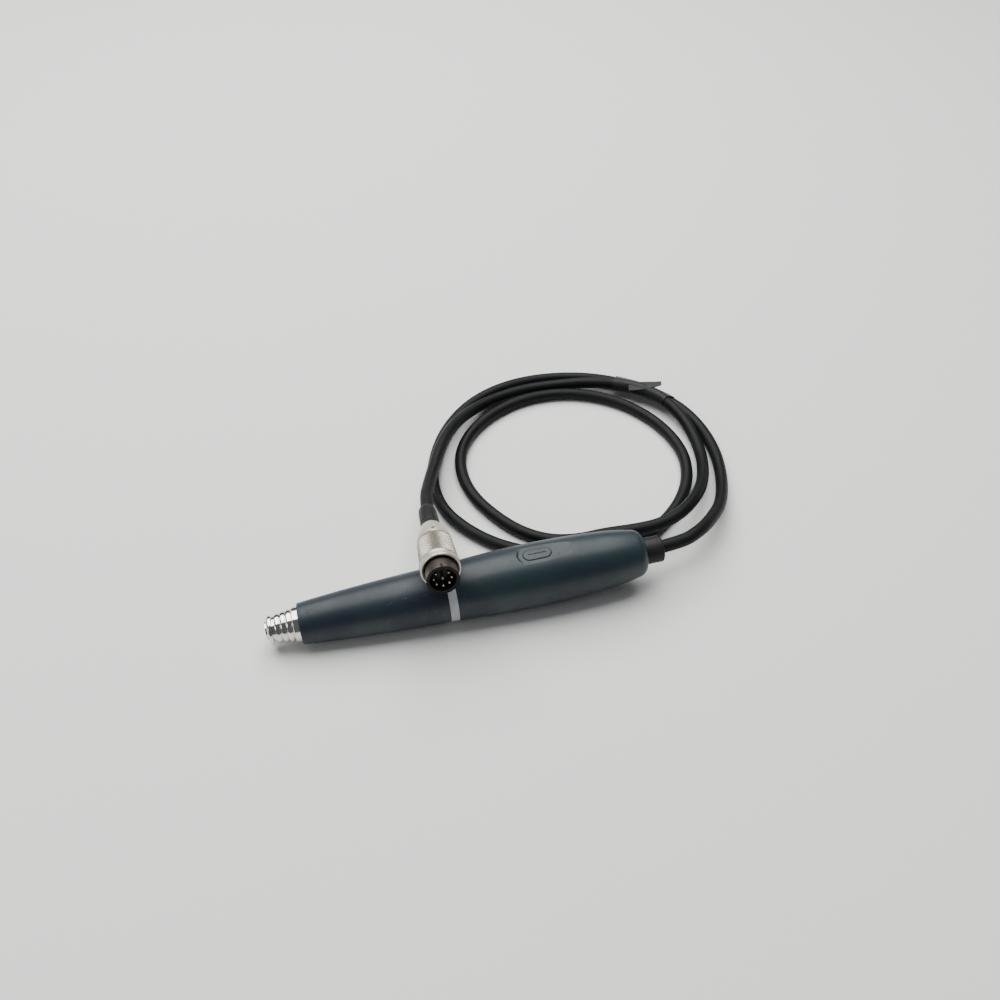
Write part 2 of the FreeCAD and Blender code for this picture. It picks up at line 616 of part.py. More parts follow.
def collar_spring():
    """Flat-wire coil between the collar's pocket and the nose tube's flange."""
    width, wall = value_of("spring_wire"), value_of("spring_wall")
    room = 0.1  # the wire's ends to what they press on
    inside = value_of("tube_r+0.4")
    start = value_of(COLLAR_POCKET) + width / 2 + room
    length = value_of("flange_station") - width / 2 - room - start
    helix = Part.makeHelix(length / value_of("spring_turns"), length, inside + wall / 2)
    section = [Vector(inside + side * wall, 0, end * width) for side, end in SECTION_CORNERS]
    profile = Part.makePolygon(section + section[:1])
    coil = Part.Wire(helix.Edges).makePipeShell([profile], True, True)
    coil.rotate(Vector(0, 0, 0), Vector(0, 1, 0), 90)
    coil.translate(Vector(start, 0, 0))
    spring = doc.addObject("Part::Feature", "collar_spring")
    spring.Shape = coil
    keep("collar_spring", spring, HANDLE)


# ---------------------------------------------------------------- spindle and gearbox


def bearing(name, front, width, outside, bore, balls):
    """Two races and their balls, as separate solids in one node."""
    race = f"(({outside}-({bore}))*0.3)"
    pieces = []
    place = (front, "0", "0")
    rims = (("outer", outside, f"{outside}-{race}"), ("inner", f"{bore}+{race}", bore))
    for part, outer, inner in rims:
        wheel = cylinder(f"{name}_{part}_blank", outer, width, place, Vector(1, 0, 0))
        hole = cylinder(f"{name}_{part}_bore", inner, width, place, Vector(1, 0, 0))
        for piece in (wheel, hole):
            piece.setExpression("Placement.Base.x", bound(front))
        pieces.append(cut_from(f"{name}_{part}_race", wheel, [hole]))
    middle = value_of(f"({outside}+{bore})/2")
    for index in range(balls):
        angle = 2 * math.pi * index / balls
        ball = doc.addObject("Part::Sphere", f"{name}_ball_{index + 1}")
        bind(ball, Radius=f"({outside}-({bore}))*0.19")
        across = Vector(0, math.cos(angle), math.sin(angle)) * middle
        ball.Placement = Placement(across + Vector(value_of(f"{front}+({width})/2"), 0, 0), Rotation())
        pieces.append(ball)
    keep(name, grouped(name, pieces), HANDLE)


def bearing_plate():
    outline = ring_outline(SEAT_END, PLATE_END, GEAR_OUTSIDE, "spindle_r+1")
    keep("bearing_plate", turned_body("bearing_plate", outline), HANDLE)


def output_spindle():
    shaft = turned_body("spindle_turned", [
        ("lock_depth+0.2", "spindle_r"),
        ("gear_station-carrier_gap", "spindle_r"),
        ("gear_station-carrier_gap", "0"),
        ("lock_depth+0.2", "0"),
    ])
    low = ("lock_depth+0.5-blade_length", "-blade_width/2", "-blade_thickness/2")
    blade = block("spindle_blade", low, ("blade_length", "blade_width", "blade_thickness"))
    keep("output_spindle", joined("output_spindle", [shaft, blade]), HANDLE)


def planet_carrier():
    back = "(gear_station-carrier_gap)"
    outline = ring_outline(f"{back}-carrier_thickness", back, f"{CENTRES}+carrier_rim", "spindle_r")
    plate = turned_body("carrier_plate", outline)
    pins = []
    for index in range(3):
        offset = planet_offset(index)
        place = (f"{back}-0.2", str(offset.y), str(offset.z))
        length = "gear_width+2*carrier_gap"
        pin = cylinder(f"planet_pin_{index + 1}", "planet_pin_r", length, place, Vector(1, 0, 0))
        pin.setExpression("Placement.Base.x", bound(place[0]))
        pins.append(pin)
    keep("planet_carrier", joined("planet_carrier", [plate, *pins]), HANDLE)


def planet_offset(index):
    """Centre of a planet gear, across the axis."""
    angle = math.radians(90 + 120 * index)
    return Vector(0, math.cos(angle), math.sin(angle)) * value_of(CENTRES)


TOOTH_FILL = 0.8    # tooth thickness as a share of half the pitch, which leaves backlash
ADDENDUM = 0.75     # tooth height above the pitch circle, in modules
DEDENDUM = 1.15     # tooth depth below it, in modules
FLANK = 0.42        # how much a flank leans in, in modules of width per module of height


def tooth_outline(teeth, first_tooth, inward):
    """Closed outline of a gear's teeth in the YZ plane; inward teeth point at the axis."""
    size = value_of("module_size")
    pitch_r = size * teeth / 2
    sign = -1 if inward else 1
    half = math.pi * size / 4 * TOOTH_FILL
    points = []
    for tooth in range(teeth):
        middle = first_tooth + 2 * math.pi * tooth / teeth
        corners = ((-1, -DEDENDUM), (-1, ADDENDUM), (1, ADDENDUM), (1, -DEDENDUM))
        for side, height in corners:
            radius = pitch_r + sign * height * size
            width = side * (half - FLANK * height * size)
            angle = middle + width / pitch_r
            points.append(Vector(0, math.cos(angle) * radius, math.sin(angle) * radius))
    return Part.Face(Part.makePolygon(points + points[:1]))


def gear_feature(name, solid):
    gear = doc.addObject("Part::Feature", name)
    gear.Shape = solid
    keep(name, gear, HANDLE)


def gears():
    """Sun on the motor shaft, three planets on the carrier and the fixed ring gear."""
    front, width = value_of("gear_station"), value_of("gear_width")
    sun_teeth, planet_teeth = int(value_of("sun_teeth")), int(value_of("planet_teeth"))
    along = Vector(width, 0, 0)
    top = math.pi / 2
    sun = tooth_outline(sun_teeth, top, False).extrude(along)
    bore = Part.makeCylinder(value_of("pinion_bore"), width, Vector(0, 0, 0), Vector(1, 0, 0))
    sun = sun.cut(bore)
    sun.translate(Vector(front, 0, 0))
    gear_feature("sun_pinion", sun)
    for index in range(3):
        towards_ring = top + math.radians(120 * index)
        planet = tooth_outline(planet_teeth, towards_ring + math.pi / planet_teeth, False).extrude(along)
        hole = value_of("planet_pin_r+running_gap")
        planet = planet.cut(Part.makeCylinder(hole, width, Vector(0, 0, 0), Vector(1, 0, 0)))
        planet.translate(Vector(front, 0, 0) + planet_offset(index))
        gear_feature(f"planet_gear_{index + 1}", planet)
    ring_teeth = sun_teeth + 2 * planet_teeth
    outside = value_of(GEAR_OUTSIDE)
    start = value_of(PLATE_END)
    length = value_of(RING_END) - start
    blank = Part.makeCylinder(outside, length, Vector(start, 0, 0), Vector(1, 0, 0))
    room = value_of("module_size") * (ring_teeth / 2 + DEDENDUM)
    blank = blank.cut(Part.makeCylinder(room, front - 0.2 - start, Vector(start, 0, 0), Vector(1, 0, 0)))
    inside = tooth_outline(ring_teeth, top, True).extrude(Vector(width + 1, 0, 0))
    inside.translate(Vector(front - 0.3, 0, 0))
    gear_feature("ring_gear", blank.cut(inside))


def gearbox_spacer():
    outside = "(min(gear_bore, motor_bore)-fit_gap)"
    outline = ring_outline(RING_END, "motor_station", outside, f"{outside}-spacer_wall")
    keep("gearbox_spacer", turned_body("gearbox_spacer", outline), HANDLE)


# ---------------------------------------------------------------- motor


def motor():
    back = MOTOR_END
    seat = "motor_bearing_r"
    can = ring_outline("motor_station", back, CAN_R, CAN_INSIDE)
    keep("motor_can", turned_body("motor_can", can), HANDLE)
    keep("motor_front_bell", turned_body("motor_front_bell", [
        ("motor_station", CAN_INSIDE),
        (f"motor_station+{BELL_DEPTH}", CAN_INSIDE),
        (f"motor_station+{BELL_DEPTH}", seat),
        ("motor_station+seat_wall", seat),
        ("motor_station+seat_wall", "pinion_bore+0.4"),
        ("motor_station", "pinion_bore+0.4"),
    ]), HANDLE)
    keep("motor_rear_bell", turned_body("motor_rear_bell", [
        (f"{back}-{BELL_DEPTH}", CAN_INSIDE),
        (back, CAN_INSIDE),
        (back, "rear_bore"),
        (f"{back}-seat_wall", "rear_bore"),
        (f"{back}-seat_wall", seat),
        (f"{back}-{BELL_DEPTH}", seat),
    ]), HANDLE)
    for name, front in (
        ("motor_front_bearing", "motor_station+seat_wall"),
        ("motor_rear_bearing", f"{back}-{BELL_DEPTH}"),
    ):
        bearing(name, front, "motor_bearing_width", seat, "motor_shaft_r+running_gap", 7)
    for name, length, outside, inside in (
        ("stator_core", "core_length", CAN_INSIDE, "winding_r+fit_gap"),
        ("stator_winding", "winding_length", "winding_r", "winding_r-winding_wall"),
        ("rotor_magnet", "magnet_length", "magnet_r", "motor_shaft_r"),
    ):
        ends = (f"{MOTOR_MIDDLE}-{length}/2", f"{MOTOR_MIDDLE}+{length}/2")
        keep(name, turned_body(name, ring_outline(*ends, outside, inside)), HANDLE)
    step = "motor_station+seat_wall+0.1"
    shaft_end = f"{back}-seat_wall-0.1"
    keep("rotor_shaft", turned_body("rotor_shaft", [
        ("gear_station", "pinion_bore"),
        (step, "pinion_bore"),
        (step, "motor_shaft_r"),
        (shaft_end, "motor_shaft_r"),
        (shaft_end, "0"),
        ("gear_station", "0"),
    ]), HANDLE)
    board = f"({MOTOR_MIDDLE}+sensor_station)"
    sensor = ring_outline(board, f"{board}+sensor_thickness", f"{CAN_INSIDE}-fit_gap", "motor_shaft_r+1")
    keep("sensor_board", turned_body("sensor_board", sensor), HANDLE)
    retainer = ring_outline(back, f"{back}+retainer_length", "spigot_r", "retainer_bore")
    keep("motor_retainer", turned_body("motor_retainer", retainer), HANDLE)


# ---------------------------------------------------------------- thumb key and electronics


def thumb_key():
    """Key cap with its retaining lip, the engraved line on it and the plunger below."""
    cap = stadium("key_cap", "key_station", "key_length", "key_width", "key_base", "key_top")
    lip_size = ("key_length+2*lip_rim", "key_width+2*lip_side")
    lip = stadium("key_lip", "key_station", *lip_size, "lip_top-lip_thickness", "lip_top")
    low = ("key_station-line_length/2", "-line_width/2", "key_top-line_depth")
    line = block("key_line", low, ("line_length", "line_width", "1"))
    whole = joined("key_blank", [cap, lip])
    keep("thumb_key", cut_from("thumb_key", whole, [line]), HANDLE)
    place = ("key_station", "0", "board_top+switch_height+plunger_gap")
    plunger = cylinder("switch_plunger", "plunger_r", "plunger_length", place)
    plunger.setExpression("Placement.Base.x", bound(place[0]))
    plunger.setExpression("Placement.Base.z", bound(place[2]))
    keep("switch_plunger", plunger, HANDLE)


# Parts on the control board: along it, across it, length and width.
CHIPS = ((3, -6, 7, 7), (3, 3.5, 4, 3), (12, -6.5, 4, 5), (31, -5, 6, 6), (40, -6, 4, 12))
MOTOR_LEADS = (-2.4, -0.8, 0.8, 2.4)  # their places across the handle
CORD_LEADS = (-1.5, 0.0, 1.5)         # the same at the cord's end


def electronics():
    start = "(key_station-board_length/2)"
    low = (start, "-board_width/2", "board_top-board_thickness")
    board = block("control_board", low, ("board_length", "board_width", "board_thickness"))
    keep("control_board", board, HANDLE)
    low = ("key_station-switch_side/2", "-switch_side/2", "board_top")
    switch = block("key_switch", low, ("switch_side", "switch_side", "switch_height"))
    keep("key_switch", switch, HANDLE)
    chips = []
    for index, (along, across, length, width) in enumerate(CHIPS):
        low = (f"{start}+{along}", str(across), "board_top")
        chips.append(block(f"chip_{index + 1}", low, (str(length), str(width), "chip_height")))
    keep("board_chips", grouped("board_chips", chips), HANDLE)
    motor_leads = []
    for index, across in enumerate(MOTOR_LEADS):
        place = (MOTOR_END, str(across), "lead_height")
        lead = cylinder(f"motor_lead_{index + 1}", "lead_r", f"{start}-{MOTOR_END}", place, Vector(1, 0, 0))
        motor_leads.append(lead)
    keep("motor_leads", grouped("motor_leads", motor_leads), HANDLE)
    cord_leads = []
    solder = value_of(f"{start}+board_length-lead_reach")
    under = value_of("board_top-board_thickness-lead_gap-lead_r")
    radius = value_of("lead_r")
    for index, across in enumerate(CORD_LEADS):
        first = Vector(solder, across * 3, under)
        last = Vector(value_of(f"{CORD_START}-lead_gap"), across, 0)
        way = (last - first).normalize()
        last.x -= radius * math.sqrt(1 - way.x ** 2)  # the slanted end face stays clear of the cord
        wire = Part.makeCylinder(radius, (last - first).Length, first, last - first)
        lead = doc.addObject("Part::Feature", f"cord_lead_{index + 1}")
        lead.Shape = wire
        cord_leads.append(lead)
    keep("cord_leads", grouped("cord_leads", cord_leads), HANDLE)


def cord_clamp():
    """Block that grips the cord inside the tail, and its two screws."""
    front = f"({CORD_START}+2)"
    low = (front, "-clamp_width/2", "-clamp_height/2")
    base = block("clamp_block", low, ("clamp_length", "clamp_width", "clamp_height"))
    place = (f"{front}-1", "0", "0")
    bore = cylinder("clamp_bore", "cord_r+fit_gap", "clamp_length+2", place, Vector(1, 0, 0))
    tools = [bore]
    screws = []
    for side, sign in (("left", "-"), ("right", "")):
        foot = (f"{front}+clamp_length/2", f"{sign}clamp_screw_y", "1-clamp_height/2")
        under = (foot[0], foot[1], "-clamp_height/2-1")
        top = (foot[0], foot[1], "clamp_height/2")
        tools.append(cylinder(f"clamp_hole_{side}", "clamp_screw_r+fit_gap", "clamp_height+2", under))
        shank = cylinder(f"screw_shank_{side}", "clamp_screw_r", "clamp_height-1", foot)
        head = cylinder(f"screw_head_{side}", "clamp_head_r", "1", top)
        screws.append(joined(f"clamp_screw_{side}", [shank, head]))
    keep("cord_clamp", cut_from("cord_clamp", base, tools), HANDLE)
    keep("clamp_screws", grouped("clamp_screws", screws), HANDLE)


def cable_gland():
    inside = f"({TAIL}-end_wall-gland_inside)"
    outline = [
        (inside, "gland_thread_r"),
        (TAIL, "gland_thread_r"),
        (TAIL, "gland_r"),
        (f"{GLAND_END}-gland_chamfer", "gland_r"),
        (GLAND_END, "gland_r-gland_chamfer"),
        (GLAND_END, "cord_r+fit_gap"),
        (inside, "cord_r+fit_gap"),
    ]
    keep("cable_gland", turned_body("cable_gland", outline), HANDLE)
    nut_end = f"({TAIL}-end_wall)"
    nut = ring_outline(f"{nut_end}-nut_thickness", nut_end, "gland_thread_r+nut_wall", "gland_thread_r")
    keep("gland_nut", turned_body("gland_nut", nut), HANDLE)


# ---------------------------------------------------------------- plug


def moved_along(outline, shift):
    """Outline with every station moved, because a sketch keeps its stations above zero."""
    return [(f"{point[0]}+({shift})", *point[1:]) for point in outline]


def plug_piece(name, outline):
    """A turned piece of the plug. Its sketch starts at the barrel's tip, and so does its place."""
    body = turned_body(name, moved_along(outline, "barrel_reach"))
    keep(name, body, plug_place())


def plug_place():
    """The plug's pose, counted from the barrel's tip."""
    return PLUG.multiply(Placement(Vector(-value_of("barrel_reach"), 0, 0), Rotation()))


def plug():
    lip_r = "(ring_bore-ring_lip)"
    plug_piece("coupling_ring", [
        ("0", "ring_r-ring_chamfer"),
        ("ring_chamfer", "ring_r"),
        ("ring_face", "ring_r"),
        ("ring_face+0.3", "ring_r-knurl_step"),
        ("ring_length", "ring_tail_r"),
        ("ring_length", lip_r),
        ("ring_length-lip_length", lip_r),
        ("ring_length-lip_length", "ring_bore"),
        ("0.8", "ring_bore"),
        ("0", "ring_bore+0.8"),
    ])
    neck = "(barrel_r-barrel_step)"
    collar_back = "(ring_length-lip_length-0.3)"
    shell_face = "(ring_length+0.15)"
    plug_piece("plug_shell", [
        ("shell_front", neck),
        ("ring_length-4", neck),
        ("ring_length-4", "ring_bore-ring_play"),
        (collar_back, "ring_bore-ring_play"),
        (collar_back, neck),
        (shell_face, neck),
        (shell_face, "ring_tail_r-0.1", "shell_crown"),
        ("plug_shell_end-1", "shell_tail_r+0.4"),
        ("plug_shell_end", "shell_tail_r"),
        ("plug_shell_end", "cord_r+fit_gap"),
        ("plug_shell_end-5", "cord_r+fit_gap"),
        ("plug_shell_end-8", "shell_inside"),
        ("shell_front", "shell_inside"),
    ])
    barrel_inside = "(barrel_r-barrel_wall)"
    plug_piece("plug_barrel", [
        ("-barrel_reach", "barrel_r"),
        ("-barrel_shoulder", "barrel_r"),
        ("-barrel_shoulder", neck),
        ("core_end", neck),
        ("core_end", barrel_inside),
        ("-barrel_reach", barrel_inside),
    ])
    liner = f"({barrel_inside}-liner_wall)"
    recess = "(-barrel_reach+recess_depth)"
    plug_piece("plug_insulator", [
        ("-barrel_reach+0.2", barrel_inside),
        ("core_end", barrel_inside),
        ("core_end", "0"),
        (recess, "0"),
        (recess, liner),
        ("-barrel_reach+0.2", liner),
    ])
    hollow = NODES["plug_insulator"][0]
    pins = []
    holes = []
    for index in range(8):
        angle = math.radians(90 + 45 * index)
        reach = value_of("pin_circle") if index else 0.0
        spot = ("pin_set_back", str(reach * math.cos(angle)), str(reach * math.sin(angle)))
        pins.append(cylinder(f"pin_{index + 1}", "pin_r", "pin_length", spot, Vector(1, 0, 0)))
        holes.append(cylinder(f"pin_hole_{index + 1}", "pin_r", "pin_length+3", spot, Vector(1, 0, 0)))
    hollow.Label = "insulator_turned"
    drilled = cut_from("plug_insulator_drilled", hollow, holes)
    keep("plug_insulator", drilled, plug_place())
    keep("plug_pins", grouped("plug_pins", pins), plug_place())
    plug_piece("plug_boot", [
        ("plug_shell_end", "boot_r"),
        ("boot_end-4", "boot_r-0.3"),
        ("boot_end-1", "boot_r-0.5"),
        ("boot_end", "cord_r+0.45"),
        ("boot_end", "cord_r+fit_gap"),
        ("plug_shell_end", "cord_r+fit_gap"),
    ])
    shell = NODES["plug_shell"][0]
    place = ("ring_length+screw_place+barrel_reach", "0", "barrel_r-3")
    hole = cylinder("set_screw_hole", "screw_r+fit_gap", "4", place)
    shell.Label = "plug_shell_turned"
    keep("plug_shell", cut_from("plug_shell_drilled", shell, [hole]), plug_place())
    screw = cylinder("plug_set_screw", "screw_r", "2.1", place)
    keep("plug_set_screw", screw, plug_place())


# ---------------------------------------------------------------- cord


def route_edges(points):
    """Straight runs joined by tangent arcs, as (corner, edge) pairs; a run's corner is None."""
    points = [Vector(*point) for point in points]
    pairs = []
    start = points[0]
    for index in range(1, len(points) - 1):
        before, after = points[index] - points[index - 1], points[index + 1] - points[index]
        turn = before.getAngle(after)
        radius = 0.45 * min(before.Length, after.Length) / math.tan(turn / 2)
        reach = radius * math.tan(turn / 2)
        ahead, on = Vector(before).normalize(), Vector(after).normalize()
        entry, leave = points[index] - ahead * reach, points[index] + on * reach
        inward = (on - ahead).normalize()
        middle = points[index] + inward * (radius / math.cos(turn / 2) - radius)
        pairs.append((None, Part.LineSegment(start, entry).toShape()))
        pairs.append((index, Part.Arc(entry, middle, leave).toShape()))
        print(f"cord corner {index}: radius {radius:.1f}, turn {math.degrees(turn):.1f}")
        start = leave
    pairs.append((None, Part.LineSegment(start, points[-1]).toShape()))
    return pairs


def swept(edges, radius):
    """A round tube along edges."""
    path = Part.Wire(edges)
    start = edges[0].valueAt(edges[0].FirstParameter)
    heading = edges[0].tangentAt(edges[0].FirstParameter)
    profile = Part.Wire(Part.makeCircle(radius, start, heading))
    return path.makePipeShell([profile], True, True)


def on_axis(pose, *places):
    """Points of a piece's own axis, as tuples."""
    return [tuple(pose.multVec(Vector(value_of(place), 0, 0))) for place in places]


def cord():
    handle_side = on_axis(HANDLE, CORD_START, f"{GLAND_END}+9")
    plug_side = on_axis(PLUG, "boot_end+8", CORD_END)
    route = handle_side + CORD_ROUTE + plug_side
    radius = value_of("cord_r")
    pairs = route_edges(route)
    edges = [edge for _, edge in pairs]
    tube = doc.addObject("Part::Feature", "cord")
    tube.Shape = swept(edges, radius)
    length = sum(edge.Length for edge in edges)
    ratio = tube.Shape.Volume / (math.pi * radius ** 2 * length)
    print(f"cord length {length:.1f}, volume ratio {ratio:.4f}")
    keep("cord", tube)
    sleeves = []
    strands = []
    for first, last in WRAPPED_CORNERS:
        numbers = [position for position, (corner, _) in enumerate(pairs) if corner in (first, last)]
        covered = edges[numbers[0]:numbers[-1] + 1]
        sleeves.append(swept(covered, radius + value_of("wrap_wall")))
        strands.append(swept(covered, radius))
    tab = Part.makeBox(value_of("tab_length"), value_of("tab_width"), value_of("wrap_wall"))
    tab.Placement = Placement(Vector(*TAB_CORNER), Rotation(Vector(0, 0, 1), value_of("tab_swing")))
    wrap = doc.addObject("Part::Feature", "cord_wrap")
    tubes = [sleeve.cut(strand) for sleeve, strand in zip(sleeves, strands)]
    wrap.Shape = tubes[0].fuse(tubes[1]).fuse(tab)
    keep("cord_wrap", wrap)


def build():
    front_sleeve()
    seam_band()
    rear_shell()
    nose_tube()
    locking_balls()
    nose_cap()
    locking_collar()
    collar_spring()
    bearing("spindle_bearing", SEAT_FRONT, "bearing_width", "bearing_r", "spindle_r+running_gap", 8)
    bearing_plate()
    output_spindle()
    planet_carrier()
    gears()
    gearbox_spacer()
    motor()
    thumb_key()
    electronics()
    cord_clamp()
    cable_gland()
    plug()
    cord()


def check_and_write():
    doc.recompute()
    for thing, pose in NODES.values():
        if pose:
            thing.Placement = pose.multiply(thing.Placement)
    doc.recompute()
    for thing in doc.Objects:
        if "Invalid" in thing.State or "Error" in thing.State:
            raise RuntimeError(f"{thing.Name} failed: {thing.State}")
    os.makedirs("parts", exist_ok=True)
    for name, (thing, _) in NODES.items():
        shape = thing.Shape
        if shape.isNull() or not shape.isValid() or not shape.Solids:
            raise RuntimeError(f"{name} has no valid solid")
        shape.exportStep(f"parts/{name}.step")
    print(f"{len(NODES)} nodes written")


def say_places():
    """Print the places that the record needs, on the floor's axes."""
    print("handle pose", HANDLE, "plug pose", PLUG)


build()
check_and_write()
say_places()
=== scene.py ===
"""Looks for a corded motor handpiece: painted shells, chrome quick-lock nose, looped cord and plug.

The mechanical model is loaded as a fixed frame. This file gives its pieces their finishes, and
replaces the visible ones with finer meshes that hold the same sizes.
"""
import json
import math

import bmesh
import bpy
from bpy.props import FloatProperty, FloatVectorProperty, IntProperty, PointerProperty
from mathutils import Matrix, Vector


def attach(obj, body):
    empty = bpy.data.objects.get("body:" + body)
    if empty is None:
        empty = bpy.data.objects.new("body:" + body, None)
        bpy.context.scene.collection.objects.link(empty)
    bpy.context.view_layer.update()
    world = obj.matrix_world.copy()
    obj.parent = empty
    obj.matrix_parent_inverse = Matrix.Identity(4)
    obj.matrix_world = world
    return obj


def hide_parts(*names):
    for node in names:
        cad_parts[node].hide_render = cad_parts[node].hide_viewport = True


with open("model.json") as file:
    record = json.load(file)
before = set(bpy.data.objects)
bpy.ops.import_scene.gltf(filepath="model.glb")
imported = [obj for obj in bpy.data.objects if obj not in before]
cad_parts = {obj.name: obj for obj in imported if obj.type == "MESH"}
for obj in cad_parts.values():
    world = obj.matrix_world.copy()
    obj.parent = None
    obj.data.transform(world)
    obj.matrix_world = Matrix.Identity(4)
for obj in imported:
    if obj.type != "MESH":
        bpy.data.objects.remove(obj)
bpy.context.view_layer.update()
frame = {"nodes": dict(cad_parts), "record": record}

bl_info = {
    "name": "Motor Handpiece Looks",
    "version": (1, 0, 0),
    "blender": (4, 5, 0),
    "location": "View3D > Sidebar > Handpiece",
    "description": "Builds the shells, nose, cord and plug of a corded motor handpiece",
    "category": "Object",
}

MM = 0.001
JOINTS = {joint["name"]: joint for joint in frame["record"]["behaviour"]["joints"]}
ALONG = Vector(JOINTS["collar_slide"]["axis"]).normalized()
SPIN_STATION, RING_STATION = 68.5, 10       # where two joints stand on the handle's and the plug's axis
TIP = Vector(JOINTS["rotor_spin"]["pos_m"]) - ALONG * (SPIN_STATION * MM)
BACKWARDS = Vector(JOINTS["ring_spin"]["axis"]).normalized()
RING_FRONT = Vector(JOINTS["ring_spin"]["pos_m"]) - BACKWARDS * RING_STATION * MM


def axis_pose(origin, along):
    """The pose of a local frame whose X runs along an axis and whose Z points up from it."""
    side = Vector((0, 0, 1)).cross(along).normalized()
    upward = along.cross(side)
    return Matrix.Translation(origin) @ Matrix((along, side, upward)).transposed().to_4x4()


HANDLE = axis_pose(TIP, ALONG)
PLUG = axis_pose(RING_FRONT, BACKWARDS)

# The cord's route between the gland and the plug, in millimetres on the floor's axes.
CORD_ROUTE = [
    (114.5, 7.0, 17.6), (124.5, 16.5, 13.9),
    (134.0, 27.5, 10.0), (141.4, 41.5, 6.4), (147.2, 57.2, 4.2), (150.5, 74.0, 3.3),
    (150.2, 91.5, 3.5), (145.8, 108.5, 3.8), (137.0, 123.5, 3.8), (123.5, 136.5, 3.8),
    (105.0, 147.5, 3.8), (85.0, 153.5, 3.4), (64.0, 154.5, 3.2), (44.5, 149.7, 3.2),
    (27.0, 139.2, 3.2), (12.0, 122.0, 3.2), (2.0, 101.5, 3.2), (-2.8, 81.0, 3.2),
    (-0.8, 62.0, 3.2), (8.0, 46.0, 3.2), (20.0, 33.0, 3.2), (33.5, 24.5, 3.2),
    (48.5, 20.0, 3.2), (64.0, 17.8, 3.2), (80.0, 17.5, 3.2), (95.0, 21.5, 3.2),
    (109.0, 31.0, 3.2), (121.0, 43.2, 3.2), (129.2, 57.5, 3.2), (133.2, 74.0, 3.2),
    (131.5, 91.0, 3.2), (125.0, 108.0, 3.2), (112.5, 124.5, 3.2), (95.0, 135.5, 3.2),
    (76.0, 139.7, 3.2), (57.0, 137.7, 3.2), (39.5, 129.5, 3.2), (25.5, 117.5, 3.2),
    (16.5, 102.5, 3.2), (13.5, 85.5, 3.2), (16.0, 68.0, 3.2), (24.0, 51.5, 3.2),
    (34.0, 38.0, 3.2), (46.0, 29.5, 3.2), (59.5, 25.8, 4.0), (73.0, 23.0, 8.4),
    (86.0, 18.6, 12.4), (98.5, 17.4, 14.6), (110.5, 22.2, 14.8), (121.0, 31.2, 13.0),
    (129.8, 42.4, 9.8), (136.4, 55.0, 6.6), (141.2, 69.0, 4.4), (143.2, 83.5, 4.2),
    (142.2, 98.0, 6.0), (137.6, 112.0, 7.8), (129.0, 124.0, 8.6), (116.5, 134.2, 7.8),
    (100.5, 142.2, 5.6), (82.0, 146.8, 3.5), (62.0, 147.2, 3.2), (43.5, 141.8, 3.9),
    (27.5, 130.5, 7.0), (15.5, 116.0, 11.5), (6.5, 99.5, 15.2), (-0.5, 82.0, 17.0),
    (-6.2, 66.0, 19.8),
]
CORD_STATIONS = (159.0, 192.5)      # on the handle's axis: the cord's inner end and its first bend
PLUG_STATIONS = (57.5, 28.5)        # on the plug's axis: the cord's last bend and its other end

# The tape's loose end: where it starts, how far it turns from the X axis, and its size.
TAB_START = Vector((118.4, 124.5, 11.0))
TAB_SWING = math.radians(-20)
TAB_LENGTH, TAB_WIDTH, TAB_THICKNESS = 18.0, 6.3, 0.4

# The tape's band: its inside, its own thickness and that of its overlap, and how much of its run they take.
TAPE_INSIDE, TAPE_CORE, TAPE_LAYER, TAPE_OVERLAP = 3.17, 3.15, 0.42, 0.2
TAPE_SHARE, TAPE_LAP_START = 0.94, 0.42
OUTER_STRAND, UPPER_STRAND = (8, 9), (56, 57)       # the corners of the route that the band covers

# Stations on the handle's axis where pieces meet, and the outside radii there, in millimetres.
SLEEVE_FRONT, SHOULDER_STEP, SEAM_FRONT, SEAM_BACK = 15, 75.5, 81, 84.8
SHELL_SHOULDER, SHELL_TURN, SHELL_END, GLAND_END = 156.5, 171, 175, 183.5
NOSE_RADIUS, SEAM_RADIUS, SHOULDER_RADIUS, TURN_RADIUS = 9.3, 13.2, 13.3, 11.1
SPIGOT_BORE, LINER_BORE, CORD_HOLE = 9.85, 11.25, 3.2
KEY_MIDDLE = 124

# The same for the plug. The coupling ring narrows backwards under its knurl.
BARREL_FRONT, BARREL_RADIUS = -7, 7.15
RING_END, RING_RADIUS, RING_BORE = 20, 9.0, 7.45
RING_CREST, RING_TAIL = 8.8, 8.1
KNURL_START, KNURL_END = 4.9, 19.6
RING_FALL = (RING_CREST - RING_TAIL) / (KNURL_END - KNURL_START)
TAPER_END, BOOT_END = 33, 49.5


def on_axis(pose, station):
    """The floor's point, in metres, that lies on a local X axis at a station in millimetres."""
    return pose @ (Vector((station, 0, 0)) * MM)


# ---------------------------------------------------------------- sizes and colours that a user sets


